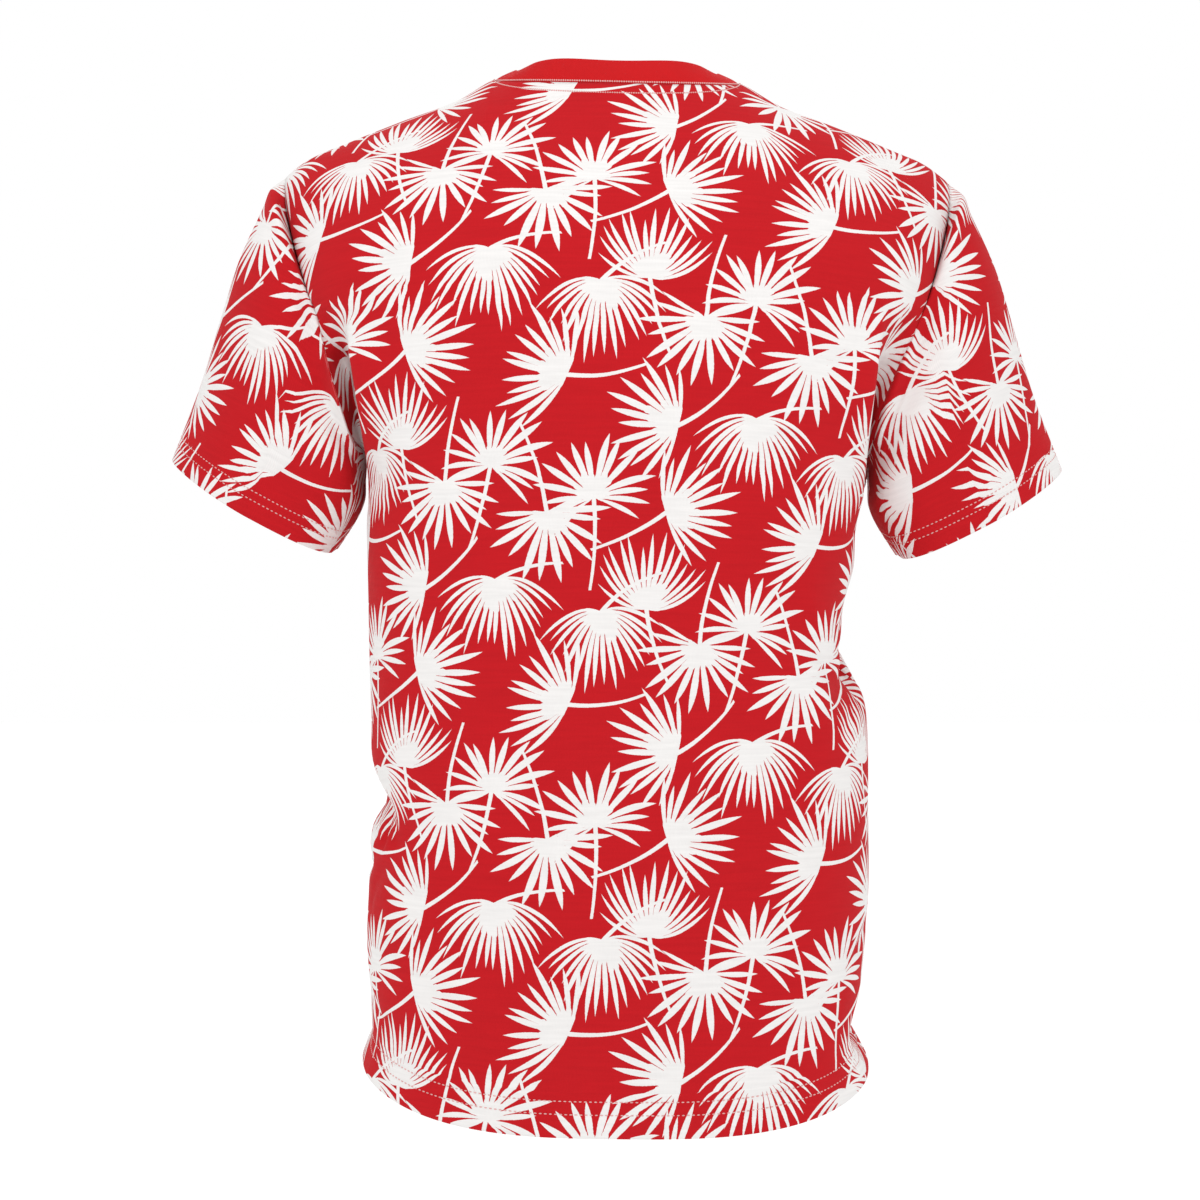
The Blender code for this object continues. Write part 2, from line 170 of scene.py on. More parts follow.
# "around" is a distance round the body from its centre, positive towards the left side seam.
FOLD_COLUMNS = ("around_1", "z_1", "around_2", "z_2", "depth", "width")
FOLDS = (
    (0.130, -0.525, 0.340, -0.450, 0.0095, 0.015),  # left side, above the hip
    (0.120, -0.550, 0.340, -0.520, 0.0030, 0.040),  # and the slack below it
    (-0.150, -0.435, -0.340, -0.345, 0.0105, 0.018),  # right side, at the waist
    (-0.140, -0.375, -0.350, -0.340, 0.0115, 0.045),  # and the slack above it
    (-0.190, -0.665, -0.310, -0.632, 0.0100, 0.017),  # right side, above the hem
    (0.190, -0.672, 0.310, -0.642, 0.0040, 0.012),  # left side, above the hem
)
CREASE_COLUMNS = ("across_1", "up_1", "across_2", "up_2", "bow", "deepest", "depth", "width")
BACK_CREASES = (
    (0.280, 0.214, 0.165, 0.174, 0.000, 0.30, 0.0140, 0.0095),  # left side, the fold above the hip
    (0.320, 0.205, 0.130, 0.195, 0.000, 0.35, 0.0050, 0.0550),  # the slack round it
    (0.320, 0.186, 0.165, 0.170, 0.000, 0.50, 0.0110, 0.0140),
    (0.216, 0.198, 0.218, 0.136, 0.034, 0.50, 0.0055, 0.0060),
    (0.280, 0.128, 0.178, 0.143, 0.000, 0.30, 0.0045, 0.0065),
    (0.222, 0.208, 0.148, 0.148, 0.006, 0.35, 0.0050, 0.0055),  # and fine creases under it
    (0.154, 0.156, 0.212, 0.092, -0.012, 0.4, 0.0030, 0.0060),
    (0.235, 0.170, 0.180, 0.150, 0.004, 0.3, 0.0024, 0.0040),
    (0.228, 0.052, 0.150, 0.030, 0.005, 0.3, 0.0022, 0.0060),
    (-0.280, 0.290, -0.150, 0.268, 0.004, 0.30, 0.0080, 0.0090),  # right side, at the waist
    (-0.310, 0.305, -0.120, 0.300, 0.000, 0.35, 0.0150, 0.0430),  # the slack round it
    (-0.232, 0.300, -0.192, 0.232, 0.000, 0.45, 0.0050, 0.0080),
    (-0.240, 0.318, -0.136, 0.287, 0.006, 0.35, 0.0050, 0.0055),
    (-0.080, 0.385, -0.190, 0.252, -0.006, 0.65, 0.0042, 0.0090),
    (-0.225, 0.268, -0.150, 0.222, -0.008, 0.4, 0.0026, 0.0070),
    (-0.310, 0.085, -0.130, 0.080, 0.000, 0.35, 0.0045, 0.0400),  # right side, broad and soft
    (-0.310, 0.384, -0.140, 0.370, 0.000, 0.35, 0.0145, 0.0240),  # under the arm
    (-0.280, 0.042, -0.165, 0.026, 0.000, 0.30, 0.0125, 0.0120),  # above the hem
    (-0.310, 0.028, -0.130, 0.024, 0.000, 0.35, 0.0085, 0.0450),
    (-0.232, 0.108, -0.150, 0.060, -0.008, 0.35, 0.0028, 0.0065),
    (-0.225, 0.060, -0.170, 0.018, -0.005, 0.4, 0.0022, 0.0055),
)
FRONT_CREASES = (
    # The first ten run on round the side seams from the back's.
    (0.280, 0.214, 0.170, 0.230, 0.000, 0.30, 0.0140, 0.0095),
    (0.320, 0.205, 0.130, 0.210, 0.000, 0.35, 0.0050, 0.0550),
    (0.320, 0.170, 0.165, 0.186, 0.000, 0.50, 0.0110, 0.0140),
    (0.280, 0.128, 0.185, 0.120, 0.000, 0.30, 0.0045, 0.0065),
    (-0.280, 0.290, -0.165, 0.312, 0.000, 0.30, 0.0080, 0.0090),
    (-0.310, 0.305, -0.120, 0.310, 0.000, 0.35, 0.0150, 0.0430),
    (-0.310, 0.085, -0.130, 0.095, 0.000, 0.35, 0.0045, 0.0400),
    (-0.310, 0.384, -0.140, 0.394, 0.000, 0.35, 0.0145, 0.0240),
    (-0.280, 0.042, -0.180, 0.050, 0.000, 0.30, 0.0125, 0.0120),
    (-0.310, 0.028, -0.130, 0.034, 0.000, 0.35, 0.0085, 0.0450),
    # The others are the front's own.
    (0.226, 0.202, 0.140, 0.150, 0.007, 0.35, 0.0045, 0.0060),
    (0.160, 0.160, 0.216, 0.100, -0.010, 0.4, 0.0026, 0.0065),
    (0.205, 0.470, 0.098, 0.395, 0.010, 0.3, 0.0026, 0.0130),
    (0.060, 0.330, 0.150, 0.245, 0.006, 0.6, 0.0016, 0.0110),
    (-0.238, 0.312, -0.130, 0.280, 0.006, 0.35, 0.0046, 0.0060),
    (-0.212, 0.475, -0.088, 0.412, -0.012, 0.3, 0.0024, 0.0140),
    (-0.228, 0.262, -0.140, 0.212, -0.008, 0.4, 0.0026, 0.0075),
    (-0.230, 0.100, -0.150, 0.058, -0.007, 0.35, 0.0026, 0.0065),
)
BANK_HEIGHT = 0.35  # the low banks beside a small crease, as a share of its depth
BANK_SPREAD = 5  # how much wider than the crease they reach, squared

# %% [markdown]
# ## Reading the tables
# A table holds few rows, and the cloth needs a value at every height between them. A Hermite curve
# through the rows gives values that change smoothly, with no corner at a row.

# %% Helpers that read a table
def column(names, rows, name):
    """One named column of a table."""
    return np.array([row[names.index(name)] for row in rows])


def smooth(knots, values, at):
    """A smooth curve through the values at the knots, read at one or more places."""
    slopes = np.gradient(values, knots, axis=0)
    at = np.atleast_1d(np.asarray(at, float))
    low = np.clip(np.searchsorted(knots, at) - 1, 0, len(knots) - 2)
    step = knots[low + 1] - knots[low]
    part = (at - knots[low]) / step
    shape = (-1,) + (1,) * (values.ndim - 1)
    part, step = part.reshape(shape), step.reshape(shape)
    return (
        (2 * part**3 - 3 * part**2 + 1) * values[low]
        + (part**3 - 2 * part**2 + part) * step * slopes[low]
        + (3 * part**2 - 2 * part**3) * values[low + 1]
        + (part**3 - part**2) * step * slopes[low + 1]
    )


def read(names, rows, name, at):
    """A column of a table, read smoothly at a value of the table's first column."""
    return float(smooth(column(names, rows, names[0]), column(names, rows, name), at)[0])


def seam_height(x):
    """Height of the line of the shoulder seam at distances from the centre."""
    out, z = (column(SHOULDER_COLUMNS, SHOULDER, name) for name in SHOULDER_COLUMNS)
    return smooth(out, z, x)


def fold_depth(around, z):
    """How far the large folds push the cloth in at each point of the body."""
    total = np.zeros_like(z)
    for row in FOLDS:
        fold = dict(zip(FOLD_COLUMNS, row))
        run, rise = fold["around_2"] - fold["around_1"], fold["z_2"] - fold["z_1"]
        length = math.hypot(run, rise)
        out, up = around - fold["around_1"], z - fold["z_1"]
        along = (out * run + up * rise) / length**2
        off = (out * rise - up * run) / length
        fade = np.clip(1 - (2 * along - 1) ** 2, 0, 1)
        total += fold["depth"] * fade * np.exp(-((off / fold["width"]) ** 2))
    return total


# %% [markdown]
# ## Back and front
# A panel is a grid: rows go across from side to side, columns go up from the hem to the shoulder.
# Below the armpit a row follows a quarter of a rounded rectangle on each side. Above it the armhole
# cuts the rows shorter, and above the shoulder blades each column goes over a Bezier curve to its
# place on the shoulder seam or the neckline. A lofted surface with a NURBS would be shorter to
# write, but here the panel's edges have to land exactly on the seams.

# %% How finely the cloth is divided
HALF_COLUMNS = 84  # from the centre line of a panel to its side
NECK_COLUMNS = 28  # how many of those end at the neckline
SIDE_SPREAD = 0.5  # how much closer the columns are at the side than at the centre
HEM_ROWS = 20  # in the turned-up part of a hem
BODY_ROWS = 104  # from there to the underarm
ARMHOLE_ROWS = 30  # underarm to shoulder blades
YOKE_ROWS = 48  # shoulder blades to shoulder seam
CUT_SPREAD = 3  # how near the armhole its cut squeezes a row's points
FINE_STEPS = 2000  # for curves that are measured along their length


# %% [markdown]
# ## The roll beside the armhole
# Beside the lower armhole a panel has spare width, which rolls over. The body ends in an upright
# roll with a crisp edge, and a deep narrow hollow lies between it and the sleeve's seam. A trough
# pressed into the surface would be too soft for that, because the cloth really turns under itself.
# So the section itself takes another path there: out to the edge, under it, and up to the seam.

# %% Table of the rolls, and a section with its roll
# By height: the edge of the roll, how far it stands out, how deep the hollow behind it is, how far
# the seam lies inwards and down from its plain place, how far the sleeve's cloth rises beside the
# seam and hangs over it, and how much of all this there is.
ROLL_COLUMNS = ("z", "edge", "stands", "deep", "seam_in", "seam_deep", "crest", "over", "share")
ROLLS = {
    ("back", 1): (
        (-0.305, 0.1712, 0.004, 0.012, 0.0000, 0.0000, 0.000, 0.000, 0.0),
        (-0.278, 0.1716, 0.006, 0.022, 0.0000, 0.0000, 0.000, 0.000, 0.7),
        (-0.262, 0.1722, 0.008, 0.034, 0.0000, 0.0000, 0.003, 0.000, 1.0),
        (-0.247, 0.1732, 0.009, 0.044, -0.0065, 0.0000, 0.013, 0.003, 1.0),
        (-0.222, 0.1758, 0.009, 0.050, -0.0055, 0.0000, 0.021, 0.003, 1.0),
        (-0.200, 0.1790, 0.006, 0.040, -0.0035, 0.0010, 0.019, 0.002, 1.0),
        (-0.184, 0.1822, 0.003, 0.020, -0.0015, 0.0010, 0.012, 0.001, 0.7),
        (-0.168, 0.1850, 0.000, 0.004, 0.0000, 0.0000, 0.000, 0.000, 0.0),
    ),
    ("back", -1): (
        (-0.305, 0.1670, 0.003, 0.012, 0.0000, 0.0000, 0.000, 0.000, 0.0),
        (-0.278, 0.1660, 0.006, 0.024, 0.0000, 0.0000, 0.000, 0.000, 0.8),
        (-0.262, 0.1668, 0.008, 0.034, 0.0000, 0.0000, 0.002, 0.000, 1.0),
        (-0.247, 0.1682, 0.009, 0.052, 0.0020, 0.0050, 0.009, 0.000, 1.0),
        (-0.222, 0.1705, 0.009, 0.054, 0.0035, 0.0070, 0.012, 0.000, 1.0),
        (-0.200, 0.1730, 0.006, 0.042, 0.0025, 0.0050, 0.010, 0.000, 1.0),
        (-0.184, 0.1775, 0.003, 0.018, 0.0015, 0.0020, 0.006, 0.000, 0.7),
        (-0.166, 0.1820, 0.000, 0.004, 0.0000, 0.0000, 0.000, 0.000, 0.0),
    ),
    ("front", 1): (
        (-0.300, 0.1700, 0.002, 0.008, 0.0000, 0.0000, 0.000, 0.000, 0.0),
        (-0.262, 0.1690, 0.005, 0.018, 0.0000, 0.0000, 0.002, 0.000, 0.7),
        (-0.245, 0.1696, 0.006, 0.024, -0.0020, 0.0010, 0.008, 0.001, 0.9),
        (-0.225, 0.1710, 0.006, 0.026, -0.0030, 0.0020, 0.010, 0.001, 1.0),
        (-0.190, 0.1760, 0.003, 0.014, -0.0010, 0.0010, 0.005, 0.000, 0.6),
        (-0.160, 0.1800, 0.000, 0.004, 0.0000, 0.0000, 0.000, 0.000, 0.0),
    ),
    ("front", -1): (
        (-0.305, 0.1700, 0.002, 0.008, 0.0000, 0.0000, 0.000, 0.000, 0.0),
        (-0.262, 0.1700, 0.006, 0.018, 0.0000, 0.0000, 0.002, 0.000, 0.8),
        (-0.240, 0.1710, 0.007, 0.028, -0.0020, 0.0020, 0.010, 0.001, 1.0),
        (-0.212, 0.1740, 0.005, 0.022, -0.0020, 0.0020, 0.008, 0.000, 0.9),
        (-0.185, 0.1785, 0.002, 0.012, -0.0010, 0.0010, 0.004, 0.000, 0.5),
        (-0.162, 0.1820, 0.000, 0.004, 0.0000, 0.0000, 0.000, 0.000, 0.0),
    ),
}
ROLL_START = 0.034  # the cloth leaves its plain section this far before the roll's edge
ROLL_TURNS = (36, 50, 67)  # the columns that lie at its start, its edge and the floor behind it
ROLL_READY = 0.8  # how much of the roll there has to be for that
ROLL_ABOVE_SEAM = 0.008  # the edge stands out from the seam by this much at least
FLOOR_BELOW_SEAM = 0.002  # and the hollow's floor lies this much deeper than the seam
FLOOR_ASIDE = 0.002  # inwards from halfway between the edge and the seam
ROLL_STEPS = 250  # along each of the roll's three curves
# How the three curves leave their first point and reach their last one, across and out.
TO_EDGE = (0.024, (0.0005, 0.0075))  # the first leaves along the plain section
TO_FLOOR = ((-0.0004, -0.007), (-0.005, 0.004))
TO_SEAM = ((0.003, -0.002), (-0.0015, -0.006))


def roll_at(panel, side, z):
    """The roll's sizes at one or more heights."""
    rows = ROLLS[panel, side]
    heights = column(ROLL_COLUMNS, rows, "z")
    return {name: np.interp(z, heights, column(ROLL_COLUMNS, rows, name)) for name in ROLL_COLUMNS[1:]}


def bezier(points, count):
    """Points along a cubic Bezier curve."""
    turn = np.linspace(0, 1, count)[:, None]
    one, two, three, four = np.array(points)
    back = 1 - turn
    return back**3 * one + 3 * back**2 * turn * two + 3 * back * turn**2 * three + turn**3 * four


def length_along(line):
    """Length from a line's first point to each of its points."""
    return np.concatenate([[0], np.cumsum(np.linalg.norm(np.diff(line, axis=0), axis=1))])


def rolled(x, y, roll):
    """A section whose end is laid over its roll, down the hollow and up to the seam."""
    start = np.searchsorted(x, roll["edge"] - ROLL_START)
    plain = np.column_stack([x, y])[start:]
    begin, seam = plain[0], plain[-1] - (roll["seam_in"], roll["seam_deep"])
    way = plain[1] - plain[0]
    way /= np.linalg.norm(way)
    edge = np.array([roll["edge"], np.interp(roll["edge"], x, y) + roll["stands"]])
    edge[1] = max(edge[1], seam[1] + ROLL_ABOVE_SEAM)
    deep = min(edge[1] - roll["deep"], seam[1] - FLOOR_BELOW_SEAM)
    floor = np.array([(edge[0] + seam[0]) / 2 - FLOOR_ASIDE, deep])
    path = np.concatenate([
        bezier((begin, begin + way * TO_EDGE[0], edge + TO_EDGE[1], edge), ROLL_STEPS),
        bezier((edge, edge + TO_FLOOR[0], floor + TO_FLOOR[1], floor), ROLL_STEPS),
        bezier((floor, floor + TO_SEAM[0], seam + TO_SEAM[1], seam), ROLL_STEPS),
    ])
    plain_run, run = length_along(plain), length_along(path)
    at = run / run[-1] * plain_run[-1]
    plain = np.column_stack([np.interp(at, plain_run, plain[:, k]) for k in (0, 1)])
    end = plain + (path - plain) * roll["share"]
    turns = [start, start + ROLL_STEPS, start + 2 * ROLL_STEPS]
    return np.concatenate([x[:start], end[:, 0]]), np.concatenate([y[:start], end[:, 1]]), turns


# %% The panel's grid
def quarter_row(half, depth, square, end_x, shares, roll):
    """A quarter of a body section, from the centre line to end_x, at shares of its length."""
    turn = np.linspace(0, math.pi / 2, FINE_STEPS)
    x = half * np.sin(turn) ** (2 / square)
    y = depth * np.abs(np.cos(turn)) ** (2 / square)
    whole = np.hypot(np.diff(x), np.diff(y)).sum()
    if end_x < half:
        y = np.append(y[x < end_x], np.interp(end_x, x, y))
        x = np.append(x[x < end_x], end_x)
    if roll["share"] > 0:
        x, y, turns = rolled(x, y, roll)
    run = length_along(np.column_stack([x, y]))
    at = whole * shares - (whole - run[-1]) * shares**CUT_SPREAD
    if roll["share"] > 0:
        knots = np.array([0, *ROLL_TURNS, HALF_COLUMNS])
        on_roll = smooth(knots, run[[0, *turns, -1]], np.arange(HALF_COLUMNS + 1))
        ready = min(roll["share"] / ROLL_READY, 1)
        at = at + (on_roll - at) * ready**2 * (3 - 2 * ready)
    return np.interp(at, run, x), np.interp(at, run, y)


class Panel:
    """The back or the front, as rows of points from hem to shoulder, each from right to left."""

    def __init__(self, name, sign, curve, neck_depth, fall, scoop):
        self.name = name
        self.sign = sign
        self.curve = curve
        self.neck_depth = neck_depth
        self.fall = fall
        self.scoop = scoop
        even = np.linspace(0, 1, HALF_COLUMNS + 1)
        self.shares = even * (1 + SIDE_SPREAD) - even**2 * SIDE_SPREAD
        self.top = BODY[-1][0]
        self.points = np.array(self.body_rows() + self.yoke_rows())

    def size(self, name, side_z):
        """One of the body's sizes at a level."""
        return read(BODY_COLUMNS, BODY, name, side_z)

    def armhole_half(self, side_z):
        """Distance of the armhole's edge from the centre at a level."""
        share = (side_z - UNDERARM_Z) / (self.top - UNDERARM_Z)
        return read(ARMHOLE_COLUMNS, ARMHOLE, "half", side_z) - self.scoop * math.sin(math.pi / 2 * share)

    def level(self, side_z, side):
        """Half a row round the body at a level, and the direction outwards at each point."""
        half, depth, square = (self.size(name, side_z) for name in ("half", self.name, "square"))
        end_x = half if side_z <= UNDERARM_Z else self.armhole_half(side_z)
        x, y = quarter_row(half, depth, square, end_x, self.shares, roll_at(self.name, side, side_z))
        rise = (1 - np.cos(math.pi * self.shares**LEVEL_BEND)) / 2
        z = self.size(self.name + "_z", side_z) * (1 - rise) + side_z * rise
        out_y = np.maximum(y, 0) ** (square - 1) / depth**square
        out = np.stack([x ** (square - 1) / half**square, out_y], axis=1)
        return x, y, z, out / np.linalg.norm(out, axis=1)[:, None]

    def whole_row(self, side_z):
        """A row from right to left, with the folds pressed into each side."""
        quarters = self.shares if self.sign > 0 else 2 - self.shares
        sides = []
        for side in (-1, 1):
            x, y, z, out = self.level(side_z, side)
            push = fold_depth(side * QUARTER * quarters, z)[:, None] * out
            sides.append(np.column_stack([side * (x - push[:, 0]), self.sign * (y - push[:, 1]), z]))
        return np.concatenate([sides[0][:0:-1], sides[1]])

    def body_rows(self):
        """Rows from the hem to the shoulder blades, with one close above the turned-up part."""
        hem_top = BODY[0][0] + HEM_DEPTH
        levels = list(np.linspace(BODY[0][0], hem_top, HEM_ROWS)) + [hem_top + JERSEY]
        levels += list(np.linspace(levels[-1], UNDERARM_Z, BODY_ROWS))[1:]
        levels += list(np.linspace(UNDERARM_Z, self.top, ARMHOLE_ROWS + 1))[1:]
        return [self.whole_row(side_z) for side_z in levels]

    def over_shoulder(self, turn, end_left, end_climb, neck):
        """How much of the depth is left, and of the rise is done, as turn goes from 0 to 1."""
        up, flat, up_neck, rise, run = self.curve
        back = 1 - turn
        first = up + (up_neck - up) * neck
        left = end_left + flat * (1 - neck) + run * neck
        left = back**3 + 3 * back**2 * turn + 3 * back * turn**2 * left + turn**3 * end_left
        climb = end_climb - rise * neck
        climb = 3 * back**2 * turn * first + 3 * back * turn**2 * climb + turn**3 * end_climb
        return left, climb

    def reach(self, x, climb):
        """Depth of the form at x, once this much of the rise to the shoulder is done."""
        half, depth, square = (self.size(name, self.top) for name in ("half", self.name, "square"))
        wide = half + (TOP_HALF - half) * climb
        return depth * (1 - (x / wide) ** square) ** (1 / square)

    def top_edge(self, start_z):
        """Where each column ends: on the neckline near the centre, then on the shoulder seam."""
        neck = np.linspace(0, math.pi / 2, NECK_COLUMNS + 1)
        seam_x = np.linspace(NECK_HALF, SHOULDER[-1][0], HALF_COLUMNS - NECK_COLUMNS + 1)[1:]
        x = np.concatenate([NECK_HALF * np.sin(neck) ** (2 / NECK_SQUARE), seam_x])
        share = np.abs(np.cos(neck)) ** (2 / NECK_SQUARE)
        share[-1] = 0
        neck = np.concatenate([share, np.zeros(len(seam_x))])
        y = self.neck_depth * neck
        z = np.concatenate([-self.fall * y[: NECK_COLUMNS + 1], seam_height(seam_x)])
        climb = np.minimum((z - start_z) / (seam_height(x) - start_z), 1)
        return x, y / self.reach(x, climb), climb, neck

    def yoke_rows(self):
        """Rows from the shoulder blades over to the shoulder seam and the neckline."""
        start_x, _, start_z, _ = self.level(self.top, 1)
        end_x, end_left, end_climb, neck = self.top_edge(start_z)
        rows = []
        for share in np.linspace(0, 1, YOKE_ROWS + 1)[1:]:
            left, climb = self.over_shoulder(share, end_left, end_climb, neck)
            part = np.clip(climb / end_climb, 0, 1)
            x = end_x + (start_x - end_x) * (1 - part) ** ARMHOLE_BEND
            z = start_z + (seam_height(x) - start_z) * climb
            row = np.stack([x, self.sign * left * self.reach(x, climb), z], axis=1)
            rows.append(np.concatenate([row[:0:-1] * (-1, 1, 1), row]))
        return rows


back = Panel("back", 1, BACK_CURVE, NECK_BACK, BACK_FALL, 0)
front = Panel("front", -1, FRONT_CURVE, NECK_FRONT, FRONT_FALL, FRONT_SCOOP)
print("panel grid", back.points.shape[:2])

# %% [markdown]
# ## Pressing creases into a grid
# Every point of a grid also gets its place on the flat cloth, measured along the rows and the
# columns. That place does two jobs: it says where a crease runs, and later it is the UV map that
# the print follows. A crease moves points along the surface's own normals. Its section is a soft
# trough between two low banks, as cloth that is pushed in has to go somewhere.

# %% Places on the flat cloth, and directions outwards
ARMHOLE_POINTS = ARMHOLE_ROWS + YOKE_ROWS + 1


def flat_places(points):
    """Across from the middle column and up from the first row, in metres, for each point."""
    middle = points.shape[1] // 2
    steps = np.linalg.norm(np.diff(points, axis=1), axis=2)
    across = np.concatenate([np.zeros((len(points), 1)), np.cumsum(steps, axis=1)], axis=1)
    across -= across[:, middle : middle + 1]
    rises = np.linalg.norm(np.diff(points, axis=0), axis=2)
    up = np.concatenate([np.zeros((1, points.shape[1])), np.cumsum(rises, axis=0)], axis=0)
    return across, up


def normals_of(points, closed, flip):
    """Unit normals of a grid, outwards."""
    if closed:
        across = np.roll(points, -1, axis=1) - np.roll(points, 1, axis=1)
    else:
        across = np.gradient(points, axis=1)
    normals = np.cross(across, np.gradient(points, axis=0)) * (-1 if flip else 1)
    return normals / np.maximum(np.linalg.norm(normals, axis=2), 1e-12)[..., None]


def pressed(across, up, creases):
    """How far a table of creases pushes the cloth in."""
    total = np.zeros_like(across)
    for row in creases:
        crease = dict(zip(CREASE_COLUMNS, row))
        run, rise = crease["across_2"] - crease["across_1"], crease["up_2"] - crease["up_1"]
        length = math.hypot(run, rise)
        out, high = across - crease["across_1"], up - crease["up_1"]
        along = (out * run + high * rise) / length**2
        inside = np.clip(along, 0, 1)
        off = (out * rise - high * run) / length - crease["bow"] * 4 * inside * (1 - inside)
        fade = np.clip(along / crease["deepest"], 0, 1) * np.clip((1 - along) / (1 - crease["deepest"]), 0, 1)
        fade = fade * fade * (3 - 2 * fade)
        far = (off / crease["width"]) ** 2
        total += crease["depth"] * fade * (np.exp(-far) - BANK_HEIGHT * np.exp(-far / BANK_SPREAD))
    return total


# %% [markdown]
# ## Sewn edges
# Where two pieces are sewn together, both turn in towards the seam allowance, so a seam shows as a
# fine groove. Rows of stitches pull the cloth in a little too.

# %% Grooves along the panel's edges
GROOVE = 0.0007  # how deep an ordinary seam lies
NECK_GROOVE = 0.0003
GROOVE_WIDTH = 0.0022
STITCH_DIP = 0.0003
STITCH_DIP_WIDTH = 0.0016


def seam_groove(across, up):
    """How far the panel turns in near its side seams, shoulder seams and neckline."""
    edge = np.minimum(across[:, -1:] - across, across - across[:, :1])
    top = up[-1:] - up
    middle = across.shape[1] // 2
    at_neck = np.abs(np.arange(across.shape[1]) - middle) <= NECK_COLUMNS
    deep = np.where(at_neck, NECK_GROOVE, GROOVE)
    return GROOVE * np.exp(-((edge / GROOVE_WIDTH) ** 2)) + deep * np.exp(-((top / GROOVE_WIDTH) ** 2))


def stitch_dips(height, rows):
    """How far rows of stitches pull the cloth in."""
    return sum(STITCH_DIP * np.exp(-(((height - at) / STITCH_DIP_WIDTH) ** 2)) for at in rows)


# %% Press everything into the panels
for panel, creases in ((back, BACK_CREASES), (front, FRONT_CREASES)):
    across, up = flat_places(panel.points)
    panel.flat = np.stack([across, up], axis=2)
    normals = normals_of(panel.points, False, panel.sign > 0)
    inwards = pressed(across, up, creases) + seam_groove(across, up)
    inwards += stitch_dips(up, HEM_STITCHES)
    panel.points = panel.points - normals * inwards[..., None]
    print(panel.name, "is", round(np.ptp(across), 3), "m across and", round(up.max(), 3), "m long")

# The panels meet along the side seams and the shoulder seams, so their points there are made one.
side_rows = len(back.points) - ARMHOLE_POINTS + 1
shoulder = np.r_[0 : HALF_COLUMNS - NECK_COLUMNS + 1, HALF_COLUMNS + NECK_COLUMNS : 2 * HALF_COLUMNS + 1]
for edge in ((slice(0, side_rows), [0, -1]), (-1, shoulder)):
    middle = (back.points[edge] + front.points[edge]) / 2
    back.points[edge] = front.points[edge] = middle

# %% [markdown]
# ## Sleeves
# A sleeve starts on the edge that the two panels leave open, and ends in an oval cuff. Between them
# each section is a tilted, slightly squared oval. All sections have their points at the same angles,
# so the sleeve is a loft, and its grid is a tube. Where the armhole's edge lies in a hollow, the
# sleeve comes out of it in a crest close beside the seam.

# %% The sleeve's grid
SLEEVE_ROWS = 70
SHIFT_FADE = 0.055  # the cloth comes out of the hollow over this length of sleeve
CREST_END = 6  # more is a crest closer to the seam


def sleeve_section(along, angles):
    """One section of the left sleeve. Angle 0 is at the underarm, and angles grow round the back."""
    value = {name: read(SLEEVE_COLUMNS, SLEEVE, name, along) for name in SLEEVE_COLUMNS[1:]}
    sharp = SLEEVE_ROUND + (SLEEVE_SHARP - SLEEVE_ROUND) * along
    square = np.where(np.cos(angles) > 0, SLEEVE_SQUARE, sharp)
    flat = np.sign(np.cos(angles)) * np.abs(np.cos(angles)) ** (2 / square)
    deep = np.abs(np.sin(angles)) ** (2 / square)
    behind = np.sin(angles) > 0
    x = (value["inner_x"] + value["outer_x"]) / 2 + flat * (value["inner_x"] - value["outer_x"]) / 2
    z = (value["inner_z"] + value["outer_z"]) / 2 + flat * (value["inner_z"] - value["outer_z"]) / 2
    y = value["middle_y"] + np.where(behind, value["back"], -value["front"]) * deep
    return np.stack([x, y, z - np.where(behind, value["dip_back"], value["dip_front"]) * deep], axis=1)


def armhole(panel, side):
    """The panel's edge from the underarm to the shoulder, on the left (1) or right (-1)."""
    return panel.points[-ARMHOLE_POINTS:, -1 if side > 0 else 0]


def seam_moves(name, side, edge):
    """What a roll does at each point of an armhole's edge, with the left side's signs: how far it
    moves the seam, and how far the sleeve's cloth then rises beside it."""
    roll = roll_at(name, side, edge[:, 2])
    way = 1 if name == "back" else -1
    seam = np.column_stack([-roll["seam_in"], -way * roll["seam_deep"], 0 * edge[:, 2]])
    crest = np.column_stack([-roll["over"], way * roll["crest"], 0 * edge[:, 2]])
    return np.stack([seam, crest]) * roll["share"][:, None]


def sleeve_grid(side):
    """Rows from the cuff up to the armhole, each a ring from the underarm round the back."""
    behind, before = armhole(back, side), armhole(front, side)
    ring = np.concatenate([behind, before[-2:0:-1]]) * (side, 1, 1)
    shift, crest = np.concatenate(
        [seam_moves("back", side, behind), seam_moves("front", side, before)[:, -2:0:-1]], axis=1
    )
    ring = ring - shift
    run = length_along(ring)
    top = len(behind) - 1
    whole = run[-1] + np.linalg.norm(ring[0] - ring[-1])
    share = np.where(run <= run[top], run / run[top] / 2, 0.5 + (run - run[top]) / (whole - run[top]) / 2)
    knots = np.concatenate([[0], column(SLEEVE_COLUMNS, SLEEVE, "along")])
    sections = np.array([ring] + [sleeve_section(along, 2 * math.pi * share) for along in knots[1:]])
    length = np.linalg.norm(sections[-1] - sections[0], axis=1).mean()
    hem = 1 - CUFF_DEPTH / length
    places = np.r_[np.linspace(0, hem - JERSEY / length, SLEEVE_ROWS), np.linspace(hem, 1, HEM_ROWS)]
    peak = 1 / (CREST_END + 1)
    rows = []
    for at in places:
        share = min(at * length / SHIFT_FADE, 1)
        rise = share / peak * ((1 - share) / (1 - peak)) ** CREST_END
        rows.append(smooth(knots, sections, at)[0] + shift * (1 - share) ** 2 + crest * rise)
    return np.array(rows[::-1]) * (side, 1, 1)


def opened(points):
    """A tube's grid cut open at its underarm: the first column comes once more at the end."""
    return np.concatenate([points, points[:, :1]], axis=1)


